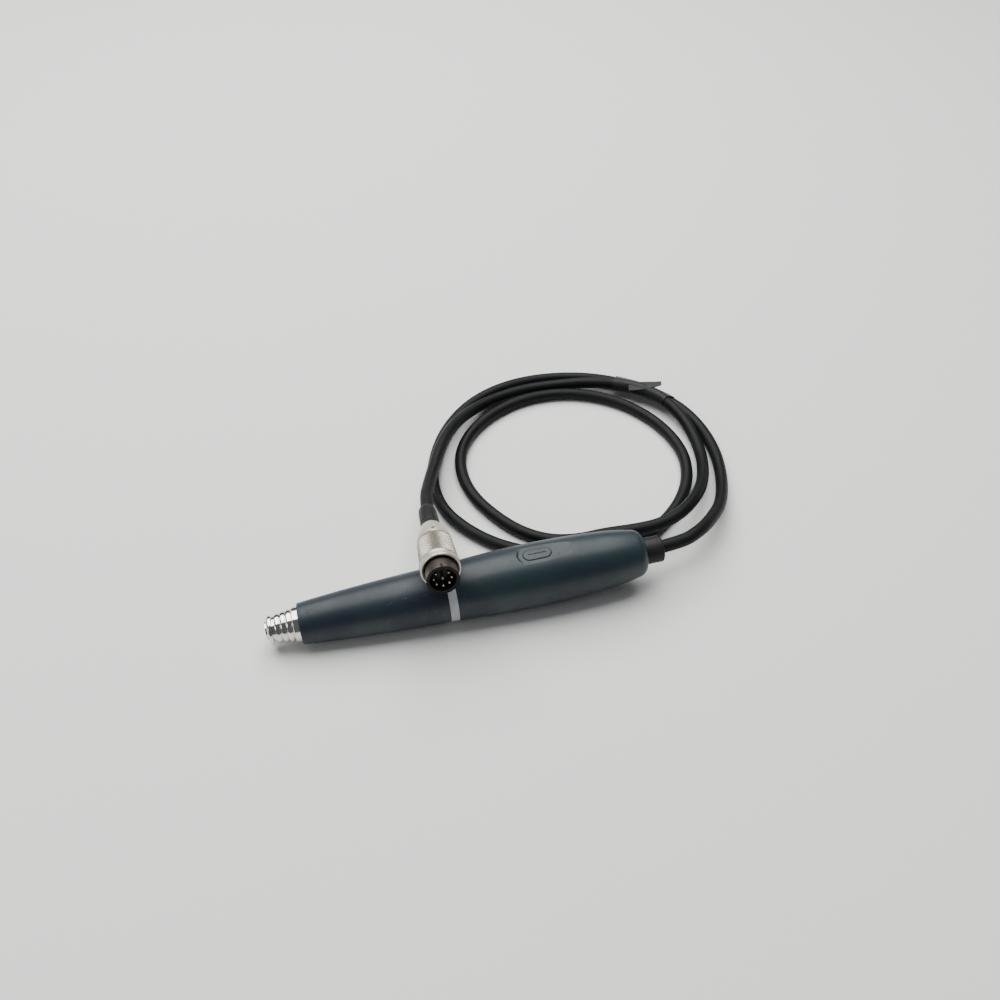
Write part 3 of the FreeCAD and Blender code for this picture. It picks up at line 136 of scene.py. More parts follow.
class HandpieceLooks(bpy.types.PropertyGroup):
    """Sizes and colours of the handpiece"""

    cord_radius: FloatProperty(
        name="Cord Radius", description="Radius of the cord's jacket",
        default=3.15 * MM, min=0.001, unit="LENGTH")
    knurl_pitch: FloatProperty(
        name="Knurl Pitch", description="Distance between two diamonds of the coupling ring's knurl",
        default=1.3 * MM, min=0.0003, unit="LENGTH")
    knurl_depth: FloatProperty(
        name="Knurl Depth", description="Height of each diamond",
        default=0.42 * MM, min=0.0, unit="LENGTH")
    contact_count: IntProperty(
        name="Contacts", description="Contact pins in the plug, one of them in the middle", default=8, min=2)
    paint_top: FloatVectorProperty(
        name="Paint", description="Main colour of the painted shells",
        default=(0.012, 0.025, 0.030), subtype="COLOR", size=3, min=0, max=1)
    paint_deep: FloatVectorProperty(
        name="Paint Shade", description="Darker tone that clouds the paint",
        default=(0.005, 0.010, 0.021), subtype="COLOR", size=3, min=0, max=1)
    nickel: FloatVectorProperty(
        name="Nickel", description="Colour of the plug's satin plating",
        default=(0.66, 0.62, 0.53), subtype="COLOR", size=3, min=0, max=1)
    jacket: FloatVectorProperty(
        name="Jacket", description="Colour of the cord's jacket",
        default=(0.004, 0.0045, 0.005), subtype="COLOR", size=3, min=0, max=1)


class StudioLooks(bpy.types.PropertyGroup):
    """The camera and the floor"""

    camera_place: FloatVectorProperty(
        name="Camera", description="Where the camera stands on the floor's axes",
        default=(-0.0508, -0.2782, 0.353), subtype="TRANSLATION", unit="LENGTH", size=3)
    camera_swing: FloatProperty(
        name="Swing", description="How far the camera turns towards the cord's end",
        default=math.radians(13.2), subtype="ANGLE")
    camera_dip: FloatProperty(
        name="Dip", description="How far the camera looks down", default=math.radians(45), subtype="ANGLE")
    lens: FloatProperty(name="Lens", description="Focal length", default=34.8, min=1, unit="CAMERA")
    floor_colour: FloatVectorProperty(
        name="Floor", description="Colour of the plain floor",
        default=(0.76, 0.76, 0.75), subtype="COLOR", size=3, min=0, max=1)


# ---------------------------------------------------------------- materials: shared node groups


def new_group(name, inputs, outputs):
    """An empty shader node group with named sockets. Returns it with its input and output nodes."""
    group = bpy.data.node_groups.new(name, "ShaderNodeTree")
    for label, kind, value in inputs:
        socket = group.interface.new_socket(label, in_out="INPUT", socket_type=kind)
        if value is not None:
            socket.default_value = value
    for label, kind in outputs:
        group.interface.new_socket(label, in_out="OUTPUT", socket_type=kind)
    return group, group.nodes.new("NodeGroupInput"), group.nodes.new("NodeGroupOutput")


def add(tree, kind, settings=None, **inputs):
    """A node with its settings, and its inputs set to values or linked from sockets.

    An input is given by its name, with _ for a space, or as _ and its number.
    """
    made = tree.nodes.new(kind)
    for name, value in (settings or {}).items():
        setattr(made, name, value)
    for name, value in inputs.items():
        place = int(name[1:]) if name[0] == "_" else name.replace("_", " ")
        if isinstance(value, bpy.types.NodeSocket):
            tree.links.new(value, made.inputs[place])
        else:
            made.inputs[place].default_value = value
    return made


def maths(tree, operation, *values):
    """The output of a Math node."""
    places = {f"_{place}": value for place, value in enumerate(values)}
    return add(tree, "ShaderNodeMath", {"operation": operation}, **places).outputs[0]


def product(tree, first, *others):
    """Values multiplied together."""
    for other in others:
        first = maths(tree, "MULTIPLY", first, other)
    return first


def noise(tree, vector, scale, detail=3.0, roughness=0.55, stretch=None):
    """A noise value from 0 to 1. stretch squeezes the pattern along the local axes."""
    if stretch:
        vector = add(tree, "ShaderNodeVectorMath", {"operation": "MULTIPLY"}, _0=vector, _1=stretch).outputs[0]
    made = add(tree, "ShaderNodeTexNoise", Vector=vector, Scale=scale, Detail=detail, Roughness=roughness)
    return made.outputs["Fac"]


def ramp(tree, factor, low, high, from_value=0.0, to_value=1.0):
    """factor from low to high becomes from_value to to_value, clamped and eased."""
    made = add(tree, "ShaderNodeMapRange", {"interpolation_type": "SMOOTHSTEP"}, Value=factor,
               From_Min=low, From_Max=high, To_Min=from_value, To_Max=to_value)
    return made.outputs["Result"]


def blend_colours(tree, factor, first, second):
    """A colour between two others."""
    return add(tree, "ShaderNodeMix", {"data_type": "RGBA"}, _0=factor, _6=first, _7=second).outputs[2]


VECTOR, NUMBER, COLOUR = "NodeSocketVector", "NodeSocketFloat", "NodeSocketColor"


def smudge_group():
    """Handling marks: clouds of a second colour, and a roughness that wanders with them."""
    group, given, result = new_group(
        "Smudges",
        [("Vector", VECTOR, None), ("Scale", NUMBER, 60.0), ("Colour", COLOUR, None), ("Second", COLOUR, None),
         ("Share", NUMBER, 0.5), ("Smooth", NUMBER, 0.3), ("Rough", NUMBER, 0.5)],
        [("Colour", COLOUR), ("Roughness", NUMBER)])
    source = given.outputs
    clouds = noise(group, source["Vector"], source["Scale"], detail=4)
    fine = noise(group, source["Vector"], product(group, source["Scale"], 9.0), detail=2)
    share = product(group, ramp(group, clouds, 0.35, 0.68), source["Share"])
    mixed = maths(group, "ADD", product(group, clouds, 0.7), product(group, fine, 0.3))
    group.links.new(blend_colours(group, share, source["Colour"], source["Second"]), result.inputs["Colour"])
    roughness = ramp(group, mixed, 0.3, 0.7, source["Smooth"], source["Rough"])
    group.links.new(roughness, result.inputs["Roughness"])
    return group


def grain_group():
    """Fine surface grain as a height, with an optional pull along the piece's axis."""
    group, given, result = new_group(
        "Grain",
        [("Vector", VECTOR, None), ("Scale", NUMBER, 900.0), ("Pull", VECTOR, (1.0, 1.0, 1.0)),
         ("Amount", NUMBER, 1.0)],
        [("Height", NUMBER)])
    source = given.outputs
    pulled = add(group, "ShaderNodeVectorMath", {"operation": "MULTIPLY"}, _0=source["Vector"], _1=source["Pull"])
    height = noise(group, pulled.outputs[0], source["Scale"], detail=2)
    group.links.new(product(group, height, source["Amount"]), result.inputs["Height"])
    return group


def turning_group():
    """Fine rings that a lathe leaves, as a height."""
    group, given, result = new_group(
        "Turning Marks",
        [("Vector", VECTOR, None), ("Pitch", NUMBER, 3000.0), ("Amount", NUMBER, 1.0)],
        [("Height", NUMBER)])
    source = given.outputs
    rings = noise(group, source["Vector"], source["Pitch"], detail=1, stretch=(1.0, 0.02, 0.02))
    group.links.new(product(group, rings, source["Amount"]), result.inputs["Height"])
    return group


def chip_group():
    """Small chips and nicks: a mask that is stronger near one station of the axis."""
    group, given, result = new_group(
        "Chips",
        [("Vector", VECTOR, None), ("Station", NUMBER, 0.015), ("Reach", NUMBER, 0.02), ("Scale", NUMBER, 420.0),
         ("Rarity", NUMBER, 0.74)],
        [("Mask", NUMBER)])
    source = given.outputs
    station = add(group, "ShaderNodeSeparateXYZ", Vector=source["Vector"]).outputs["X"]
    away = maths(group, "ABSOLUTE", maths(group, "SUBTRACT", station, source["Station"]))
    near = ramp(group, maths(group, "DIVIDE", away, source["Reach"]), 0.0, 1.0, 1.0, 0.0)
    spots = noise(group, source["Vector"], source["Scale"], detail=2, roughness=0.4)
    patches = noise(group, source["Vector"], product(group, source["Scale"], 0.22), detail=1)
    level = maths(group, "ADD", product(group, spots, 0.72), product(group, patches, 0.28))
    level = maths(group, "ADD", level, product(group, near, 0.07))
    edge = maths(group, "ADD", source["Rarity"], 0.02)
    group.links.new(ramp(group, level, source["Rarity"], edge), result.inputs["Mask"])
    return group


GROUPS = {}


def shared(name):
    """The shared node group of that name, built the first time that it is asked for."""
    if name not in GROUPS:
        makers = {"smudge": smudge_group, "grain": grain_group, "turning": turning_group, "chips": chip_group}
        GROUPS[name] = makers[name]()
    return GROUPS[name]


class Finish:
    """A material, its Principled shader and the local coordinates that its patterns follow."""

    def __init__(self, name, pose=None, metallic=0.0, **sockets):
        self.material = bpy.data.materials.new(name)
        self.material.use_nodes = True
        self.tree = self.material.node_tree
        self.shader = self.tree.nodes["Principled BSDF"]
        self.shader.inputs["Metallic"].default_value = metallic
        for label, value in sockets.items():
            self.shader.inputs[label.replace("_", " ")].default_value = value
        here = add(self.tree, "ShaderNodeTexCoord").outputs["Object"]
        if pose is not None:
            turned = add(self.tree, "ShaderNodeMapping", {"vector_type": "TEXTURE"}, Vector=here)
            turned.inputs["Location"].default_value = pose.translation
            turned.inputs["Rotation"].default_value = pose.to_euler()
            here = turned.outputs[0]
        self.here = here

    def feed(self, label, socket):
        """Link a socket into the shader."""
        self.tree.links.new(socket, self.shader.inputs[label])

    def pattern(self, name, **inputs):
        """The outputs of a shared group, laid on this finish's coordinates."""
        return add(self.tree, "ShaderNodeGroup", {"node_tree": shared(name)}, Vector=self.here, **inputs).outputs

    def split(self):
        """The three local coordinates."""
        return add(self.tree, "ShaderNodeSeparateXYZ", Vector=self.here).outputs

    def smudge(self, scale, colour, second, share, smooth, rough):
        """Colour and roughness from the handling marks. Returns the colour."""
        made = self.pattern("smudge", Scale=scale, Colour=(*colour, 1), Second=(*second, 1), Share=share,
                            Smooth=smooth, Rough=rough)
        self.feed("Base Color", made["Colour"])
        self.feed("Roughness", made["Roughness"])
        return made["Colour"]

    def chips(self, **inputs):
        """Where the chips and nicks are."""
        return self.pattern("chips", **inputs)["Mask"]

    def grain(self, scale, amount=1.0, pull=(1.0, 1.0, 1.0)):
        """The height of the fine grain."""
        return self.pattern("grain", Scale=scale, Amount=amount, Pull=pull)["Height"]

    def recolour(self, mask, below, colour):
        """Another base colour where the mask is. Returns the new colour."""
        mixed = blend_colours(self.tree, mask, below, (*colour, 1))
        self.feed("Base Color", mixed)
        return mixed

    def bump(self, height, distance):
        """Relief from a height."""
        made = add(self.tree, "ShaderNodeBump", Height=height, Distance=distance, Strength=1.0)
        self.feed("Normal", made.outputs[0])


def shade(colour, factor):
    """A colour made lighter or darker."""
    return tuple(min(1.0, part * factor) for part in colour)


# ---------------------------------------------------------------- materials: the finishes


def petrol_paint(looks):
    """Satin paint with a faint orange peel, clouded tone, and chips by the nose edge."""
    finish = Finish("petrol_paint", HANDLE, Specular_IOR_Level=0.32, Coat_Weight=0.06, Coat_Roughness=0.3)
    paint = finish.smudge(45.0, looks.paint_top, looks.paint_deep, 0.8, 0.38, 0.5)
    chips = finish.chips(Station=0.016, Reach=0.012, Scale=900.0, Rarity=0.65)
    nicks = finish.chips(Station=0.07, Reach=0.05, Scale=1500.0, Rarity=0.735)
    primed = finish.recolour(chips, paint, (0.012, 0.013, 0.014))
    finish.recolour(nicks, primed, (0.10, 0.115, 0.12))
    peel = finish.grain(1400.0, 0.6)
    finish.bump(maths(finish.tree, "SUBTRACT", peel, product(finish.tree, chips, 2.0)), 0.03 * MM)
    return finish.material


def light_ring():
    """Pale moulded ring, dulled by handling."""
    finish = Finish("light_ring", HANDLE)
    finish.smudge(150.0, (0.42, 0.43, 0.44), (0.26, 0.27, 0.29), 0.7, 0.4, 0.62)
    finish.bump(finish.grain(2500.0), 0.02 * MM)
    return finish.material


def bright_chrome():
    """Polished plating with faint turning marks and finger haze."""
    finish = Finish("bright_chrome", HANDLE, metallic=1.0)
    finish.smudge(220.0, (0.72, 0.71, 0.69), (0.48, 0.46, 0.42), 0.45, 0.05, 0.16)
    finish.bump(finish.pattern("turning", Pitch=5000.0, Amount=0.5)["Height"], 0.008 * MM)
    return finish.material


def steel(name, colour, rough, pose=HANDLE, pull=(1.0, 0.04, 0.04)):
    """Ground or cut steel with grinding lines along or round the piece."""
    finish = Finish(name, pose, metallic=1.0)
    finish.smudge(180.0, colour, shade(colour, 0.7), 0.6, rough, rough + 0.18)
    finish.bump(finish.grain(4000.0, pull=pull), 0.01 * MM)
    return finish.material


def enamelled_copper():
    """Wound copper wire under clear enamel: fine slanting turns."""
    finish = Finish("enamelled_copper", HANDLE, metallic=0.9, Coat_Weight=0.6, Coat_Roughness=0.15)
    finish.smudge(160.0, (0.55, 0.20, 0.07), (0.32, 0.10, 0.04), 0.7, 0.25, 0.4)
    turns = add(finish.tree, "ShaderNodeTexWave", {"bands_direction": "DIAGONAL"}, Vector=finish.here, Scale=900.0,
                Distortion=0.4)
    finish.bump(turns.outputs["Fac"], 0.1 * MM)
    return finish.material


def circuit_board():
    """Green solder mask over a grid of tracks."""
    finish = Finish("circuit_board", HANDLE, Coat_Weight=0.4, Coat_Roughness=0.2)
    mask = finish.smudge(90.0, (0.012, 0.085, 0.035), (0.008, 0.05, 0.022), 0.6, 0.3, 0.45)
    tracks = add(finish.tree, "ShaderNodeTexBrick", Vector=finish.here, Scale=420.0, Mortar_Size=0.03)
    lines = ramp(finish.tree, tracks.outputs["Fac"], 0.4, 0.6)
    finish.recolour(lines, mask, (0.05, 0.19, 0.08))
    finish.bump(lines, 0.03 * MM)
    return finish.material


def plastic(name, colour, smooth, rough, pose=None, grain=2200.0, second=None):
    """Moulded plastic or rubber with a fine texture and dusty patches."""
    finish = Finish(name, pose, Specular_IOR_Level=0.2)
    finish.smudge(130.0, colour, second or shade(colour, 2.2), 0.5, smooth, rough)
    finish.bump(finish.grain(grain), 0.03 * MM)
    return finish.material


def cord_jacket(looks):
    """Matt black jacket with a soft sheen, dust and small scuffs."""
    finish = Finish("cord_jacket", Specular_IOR_Level=0.14)
    jacket = tuple(looks.jacket)
    dusty = finish.smudge(35.0, jacket, shade(jacket, 2.0), 0.7, 0.42, 0.6)
    scuffs = finish.chips(Station=0.0, Reach=0.01, Scale=1300.0, Rarity=0.70)
    finish.recolour(scuffs, dusty, (0.05, 0.052, 0.054))
    finish.bump(finish.grain(2600.0), 0.03 * MM)
    return finish.material


def wound_tape():
    """Stretched vinyl tape: smooth, with creases along the pull."""
    finish = Finish("wound_tape", Specular_IOR_Level=0.18)
    finish.smudge(120.0, (0.006, 0.007, 0.0075), (0.012, 0.013, 0.014), 0.7, 0.36, 0.52)
    finish.bump(finish.grain(700.0, pull=(1.0, 1.0, 0.25)), 0.12 * MM)
    return finish.material


def satin_nickel(looks):
    """Dulled ivory nickel with tarnish in spots, and painted shade darkening the valleys of the knurl."""
    finish = Finish("satin_nickel", PLUG, metallic=0.85)
    tree, depth, nickel = finish.tree, looks.knurl_depth, tuple(looks.nickel)
    plating = finish.smudge(160.0, nickel, shade(nickel, 0.76), 0.6, 0.36, 0.52)
    spots = finish.chips(Station=0.021, Reach=0.01, Scale=1100.0, Rarity=0.72)
    tarnished = finish.recolour(spots, plating, (0.16, 0.12, 0.08))
    station, side, rise = finish.split()
    out = maths(tree, "SQRT", maths(tree, "ADD", maths(tree, "POWER", side, 2.0), maths(tree, "POWER", rise, 2.0)))
    fall = product(tree, maths(tree, "SUBTRACT", station, KNURL_START * MM), RING_FALL)
    below = maths(tree, "SUBTRACT", maths(tree, "SUBTRACT", RING_CREST * MM, fall), out)
    behind_band = ramp(tree, station, (KNURL_START - 0.4) * MM, (KNURL_START - 0.2) * MM)
    before_end = ramp(tree, station, (KNURL_END + 0.1) * MM, (KNURL_END + 0.3) * MM, 1.0, 0.0)
    # Painted shade: the colour is darkened in the knurl's valleys, between the front band and the knurl's end.
    valleys = ramp(tree, below, depth * 0.35, depth * 0.8)
    valley_shade = product(tree, behind_band, before_end, valleys, 0.92)
    finish.recolour(valley_shade, tarnished, (0.12, 0.105, 0.08))
    finish.bump(finish.pattern("turning", Pitch=3500.0, Amount=1.0)["Height"], 0.015 * MM)
    return finish.material


def barrel_nickel():
    """Brown-grey barrel with a dark front rim, and a small dark strip of painted shade on top behind it, where the
    keyway notch is.
    """
    finish = Finish("barrel_nickel", PLUG, metallic=0.8)
    tree = finish.tree
    plating = finish.smudge(260.0, (0.075, 0.06, 0.052), (0.04, 0.034, 0.03), 0.7, 0.38, 0.55)
    station, side, rise = finish.split()
    # Painted shade: a narrow strip on top at the front is coloured dark in place of the keyway notch, and is joined
    # with the dark front rim.
    narrow = ramp(tree, maths(tree, "ABSOLUTE", side), 0.45 * MM, 0.55 * MM, 1.0, 0.0)
    on_top = ramp(tree, rise, 0.0, 1.0 * MM)
    near_front = ramp(tree, station, (BARREL_FRONT + 2.3) * MM, (BARREL_FRONT + 2.5) * MM, 1.0, 0.0)
    rim = ramp(tree, station, (BARREL_FRONT + 0.1) * MM, (BARREL_FRONT + 0.3) * MM, 1.0, 0.0)
    marks = maths(tree, "MAXIMUM", product(tree, narrow, on_top, near_front), rim)
    finish.recolour(marks, plating, (0.006, 0.006, 0.006))
    finish.bump(finish.grain(4000.0, pull=(1.0, 0.05, 0.05)), 0.01 * MM)
    return finish.material


def make_finishes(looks):
    """Every finish of the handpiece, by the name of its slot in the record."""
    black = (0.007, 0.007, 0.0075)
    return {
        "petrol_paint": petrol_paint(looks),
        "light_ring": light_ring(),
        "bright_chrome": bright_chrome(),
        "spring_steel": steel("spring_steel", (0.60, 0.60, 0.60), 0.18),
        "bearing_steel": steel("bearing_steel", (0.66, 0.66, 0.65), 0.14),
        "turned_aluminium": steel("turned_aluminium", (0.74, 0.74, 0.75), 0.28),
        "gear_steel": steel("gear_steel", (0.50, 0.50, 0.51), 0.26, pull=(0.05, 1.0, 1.0)),
        "motor_steel": steel("motor_steel", (0.42, 0.43, 0.44), 0.34),
        "magnet_alloy": steel("magnet_alloy", (0.34, 0.34, 0.36), 0.42),
        "enamelled_copper": enamelled_copper(),
        "circuit_board": circuit_board(),
        "black_plastic": plastic("black_plastic", black, 0.38, 0.58),
        "lead_insulation": plastic("lead_insulation", (0.32, 0.02, 0.015), 0.3, 0.45, second=(0.2, 0.015, 0.01)),
        "cord_jacket": cord_jacket(looks),
        "tape_black": wound_tape(),
        "boot_rubber": plastic("boot_rubber", (0.007, 0.007, 0.0075), 0.42, 0.55, PLUG, grain=1800.0),
        "satin_nickel": satin_nickel(looks),
        "barrel_nickel": barrel_nickel(),
        "gold_contact": steel("gold_contact", (0.58, 0.54, 0.45), 0.2, PLUG),
    }


FINISHES = {}


def finish_nodes():
    """Give every mechanical node the finish of its slot."""
    slots = {entry["node"]: entry["material_slot"] for entry in frame["record"]["subparts"]}
    for name, node in frame["nodes"].items():
        slot = "barrel_nickel" if name == "plug_barrel" else slots[name]
        node.data.materials.clear()
        node.data.materials.append(FINISHES[slot])


# ---------------------------------------------------------------- mesh tools


def new_piece(name, mesh, slot, body, *replaced, pose=HANDLE):
    """A finished piece: posed, in the scene, with its finish, on its body, standing for its nodes."""
    mesh.transform(pose)
    piece = bpy.data.objects.new(name, mesh)
    bpy.context.scene.collection.objects.link(piece)
    mesh.materials.clear()
    mesh.materials.append(FINISHES[slot])
    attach(piece, body)
    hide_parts(*replaced)
    return piece


def arc_between(start, end, crown, steps):
    """Points of an arc that bulges away from the axis, between start and end but without them."""
    start, end = Vector(start), Vector(end)
    chord = end - start
    inward = Vector((chord.y, -chord.x)).normalized()
    centre = (start + end) / 2 + inward * math.sqrt(crown ** 2 - (chord.length / 2) ** 2)
    first, last = start - centre, end - centre
    begin, finish = math.atan2(first.y, first.x), math.atan2(last.y, last.x)
    angles = [begin + (finish - begin) * step / steps for step in range(1, steps)]
    return [centre + Vector((math.cos(angle), math.sin(angle))) * crown for angle in angles]


def rounded(outline, radius=0.15, steps=3):
    """A closed outline with its corners rounded.

    A corner is (station, radius) or (station, radius, its own rounding). A Vector, as an arc
    gives them, is left as it is.
    """
    smooth = []
    points = [Vector(point[:2]) for point in outline]
    for index, corner in enumerate(points):
        before, after = points[index - 1], points[(index + 1) % len(points)]
        given = outline[index]
        wanted = 0 if isinstance(given, Vector) else given[2] if len(given) > 2 else radius
        reach = min(wanted, (before - corner).length * 0.45, (after - corner).length * 0.45)
        if reach < 1e-3 or corner.y < 1e-6:
            smooth.append(corner)
            continue
        start = corner + (before - corner).normalized() * reach
        end = corner + (after - corner).normalized() * reach
        for step in range(steps + 1):
            share = step / steps
            smooth.append(start * (1 - share) ** 2 + corner * 2 * share * (1 - share) + end * share ** 2)
    return smooth


def lathe(name, outline, segments=160):
    """A closed mesh turned about X, from a closed outline of (station, radius) in millimetres."""
    work = bmesh.new()
    rings = []
    for station, radius in outline:
        if radius < 1e-6:
            rings.append([work.verts.new((station * MM, 0, 0))] * segments)
            continue
        angles = [2 * math.pi * step / segments for step in range(segments)]
        rings.append([work.verts.new(Vector((station, radius * math.cos(a), radius * math.sin(a))) * MM)
                      for a in angles])
    join_rings(work, rings + rings[:1])
    return to_mesh(name, work)


def join_rings(work, rings):
    """Faces between rings of as many corners each. Rings may repeat one corner, at a pole."""
    for first, second in zip(rings, rings[1:]):
        for step in range(len(first)):
            following = (step + 1) % len(first)
            corners = list(dict.fromkeys((first[step], first[following], second[following], second[step])))
            if len(corners) > 2:
                work.faces.new(corners)


def stacked(name, loops):
    """A closed mesh from loops, in millimetres, stacked from one end to the other."""
    work = bmesh.new()
    rings = [[work.verts.new(Vector(point) * MM) for point in loop] for loop in loops]
    join_rings(work, rings)
    work.faces.new(rings[0])
    work.faces.new(rings[-1])
    return to_mesh(name, work)


def to_mesh(name, work, sharp=32):
    """A mesh from a bmesh, facing outward and shaded smooth but for its sharp edges."""
    bmesh.ops.recalc_face_normals(work, faces=work.faces)
    mesh = bpy.data.meshes.new(name)
    work.to_mesh(mesh)
    work.free()
    return shaded(mesh, sharp)


def shaded(mesh, sharp=32):
    """The same mesh, smooth but for its sharp edges."""
    mesh.shade_smooth()
    mesh.set_sharp_from_angle(angle=math.radians(sharp))
    return mesh


def settled(worker, name):
    """What an object looks like after its modifiers, as a mesh. The object is removed."""
    view = bpy.context.evaluated_depsgraph_get()
    mesh = bpy.data.meshes.new_from_object(worker.evaluated_get(view))
    mesh.name = name
    worker.modifiers.clear()
    bpy.data.objects.remove(worker)
    return shaded(mesh)


def worker_for(mesh):
    """An object that only lives while its mesh is worked on."""
    worker = bpy.data.objects.new("worker", mesh)
    bpy.context.scene.collection.objects.link(worker)
    return worker


def carved(mesh, *cutters):
    """A mesh less the cutters."""
    worker = worker_for(mesh)
    tools = [worker_for(cutter) for cutter in cutters]
    for tool in tools:
        cut = worker.modifiers.new("cut", "BOOLEAN")
        cut.operation = "DIFFERENCE"
        cut.solver = "EXACT"
        cut.object = tool
    result = settled(worker, mesh.name)
    for tool in tools:
        bpy.data.objects.remove(tool)
    return result


def stadium(length, width, height, steps=14):
    """A level loop with round ends, in millimetres, round the middle of the thumb key."""
    loop = []
    for side in (1, -1):
        for step in range(steps + 1):
            angle = math.pi * (step / steps - 0.5) + (0 if side > 0 else math.pi)
            reach = (length - width) / 2 * side
            loop.append((KEY_MIDDLE + reach + width / 2 * math.cos(angle), width / 2 * math.sin(angle), height))
    return loop


def pill(name, length, width, low, high):
    """An upright block with round ends, in the same place."""
    return stacked(name, [stadium(length, width, low), stadium(length, width, high)])


# ---------------------------------------------------------------- repeated things


def geometry_tree(name, inputs):
    """A Geometry Nodes tree with named inputs. Returns it, its given sockets and its output node."""
    tree = bpy.data.node_groups.new(name, "GeometryNodeTree")
    tree.interface.new_socket("Geometry", in_out="INPUT", socket_type="NodeSocketGeometry")
    for label, kind in inputs:
        tree.interface.new_socket(label, in_out="INPUT", socket_type=kind)
    tree.interface.new_socket("Material", in_out="INPUT", socket_type="NodeSocketMaterial")
    tree.interface.new_socket("Geometry", in_out="OUTPUT", socket_type="NodeSocketGeometry")
    return tree, tree.nodes.new("NodeGroupInput").outputs, tree.nodes.new("NodeGroupOutput")


def end_tree(tree, geometry, given, result):
    """Realize what the tree made, and give it its material."""
    real = add(tree, "GeometryNodeRealizeInstances", Geometry=geometry)
    finished = add(tree, "GeometryNodeSetMaterial", Geometry=real.outputs[0], Material=given["Material"])
    tree.links.new(finished.outputs[0], result.inputs["Geometry"])
    return tree


def on_circle(tree, angle, radius, station):
    """A place on a circle round X."""
    side = product(tree, maths(tree, "COSINE", angle), radius)
    rise = product(tree, maths(tree, "SINE", angle), radius)
    return add(tree, "ShaderNodeCombineXYZ", X=station, Y=side, Z=rise).outputs[0]


def knurl_tree():
    """Rows of diamonds round a cone, every other row half a diamond further."""
    tree, given, result = geometry_tree("Diamond Knurl", [
        ("Around", "NodeSocketInt"), ("Rows", "NodeSocketInt"), ("Front", "NodeSocketFloat"),
        ("Row Pitch", "NodeSocketFloat"), ("Front Radius", "NodeSocketFloat"), ("Fall", "NodeSocketFloat"),
        ("Depth", "NodeSocketFloat"),
    ])
    number = add(tree, "GeometryNodeInputIndex").outputs[0]
    row = maths(tree, "FLOOR", maths(tree, "DIVIDE", number, given["Around"]))
    column = maths(tree, "SUBTRACT", number, product(tree, row, given["Around"]))
    half = product(tree, maths(tree, "MODULO", row, 2.0), 0.5)
    turn = maths(tree, "DIVIDE", math.tau, given["Around"])
    angle = product(tree, maths(tree, "ADD", column, half), turn)
    reach = product(tree, row, given["Row Pitch"])
    station = maths(tree, "ADD", given["Front"], reach)
    radius = maths(tree, "SUBTRACT", given["Front Radius"], product(tree, reach, given["Fall"]))
    count = product(tree, given["Around"], given["Rows"])
    points = add(tree, "GeometryNodePoints", Count=count, Position=on_circle(tree, angle, radius, station))
    diamond = add(tree, "GeometryNodeMeshCone", Vertices=4, Radius_Top=0.1, Radius_Bottom=1.0, Depth=1.0)
    tip = maths(tree, "SUBTRACT", angle, math.pi / 2)
    heading = add(tree, "FunctionNodeEulerToRotation",
                  Euler=add(tree, "ShaderNodeCombineXYZ", X=tip).outputs[0])
    across = product(tree, radius, turn, 0.5)
    size = add(tree, "ShaderNodeCombineXYZ", X=given["Row Pitch"], Y=across, Z=given["Depth"])
    placed = add(tree, "GeometryNodeInstanceOnPoints", Points=points.outputs[0], Instance=diamond.outputs["Mesh"],
                 Rotation=heading.outputs[0], Scale=size.outputs[0])
    both = tree.nodes.new("GeometryNodeJoinGeometry")
    tree.links.new(placed.outputs[0], both.inputs[0])
    tree.links.new(given["Geometry"], both.inputs[0])
    return end_tree(tree, both.outputs[0], given, result)


def contact_tree():
    """The given contact once in the middle, and again at even steps round a circle."""
    tree, given, result = geometry_tree("Contact Circle", [
        ("Count", "NodeSocketInt"), ("Step", "NodeSocketFloat"), ("Circle", "NodeSocketFloat")])
    number = add(tree, "GeometryNodeInputIndex").outputs[0]
    angle = maths(tree, "ADD", math.pi / 2, product(tree, number, given["Step"]))
    reach = product(tree, maths(tree, "MINIMUM", number, 1.0), given["Circle"])
    points = add(tree, "GeometryNodePoints", Count=given["Count"], Position=on_circle(tree, angle, reach, 0.0))
    placed = add(tree, "GeometryNodeInstanceOnPoints", Points=points.outputs[0], Instance=given["Geometry"])
    return end_tree(tree, placed.outputs[0], given, result)


def grown(name, seed, tree, **inputs):
    """The mesh that a tree makes from a seed mesh, with its named inputs set."""
    worker = worker_for(seed)
    modifier = worker.modifiers.new("grown", "NODES")
    modifier.node_group = tree
    for socket in tree.interface.items_tree:
        label = socket.name.replace(" ", "_")
        if socket.in_out == "INPUT" and label in inputs:
            modifier[socket.identifier] = inputs[label]
    return settled(worker, name)


# ---------------------------------------------------------------- pieces


class HANDPIECE_OT_finishes(bpy.types.Operator):
    """Make every finish and give the mechanical nodes theirs"""

    bl_idname = "handpiece.finishes"
    bl_label = "Finishes"

    def execute(self, context):
        FINISHES.update(make_finishes(context.scene.handpiece_looks))
        finish_nodes()
        return {"FINISHED"}


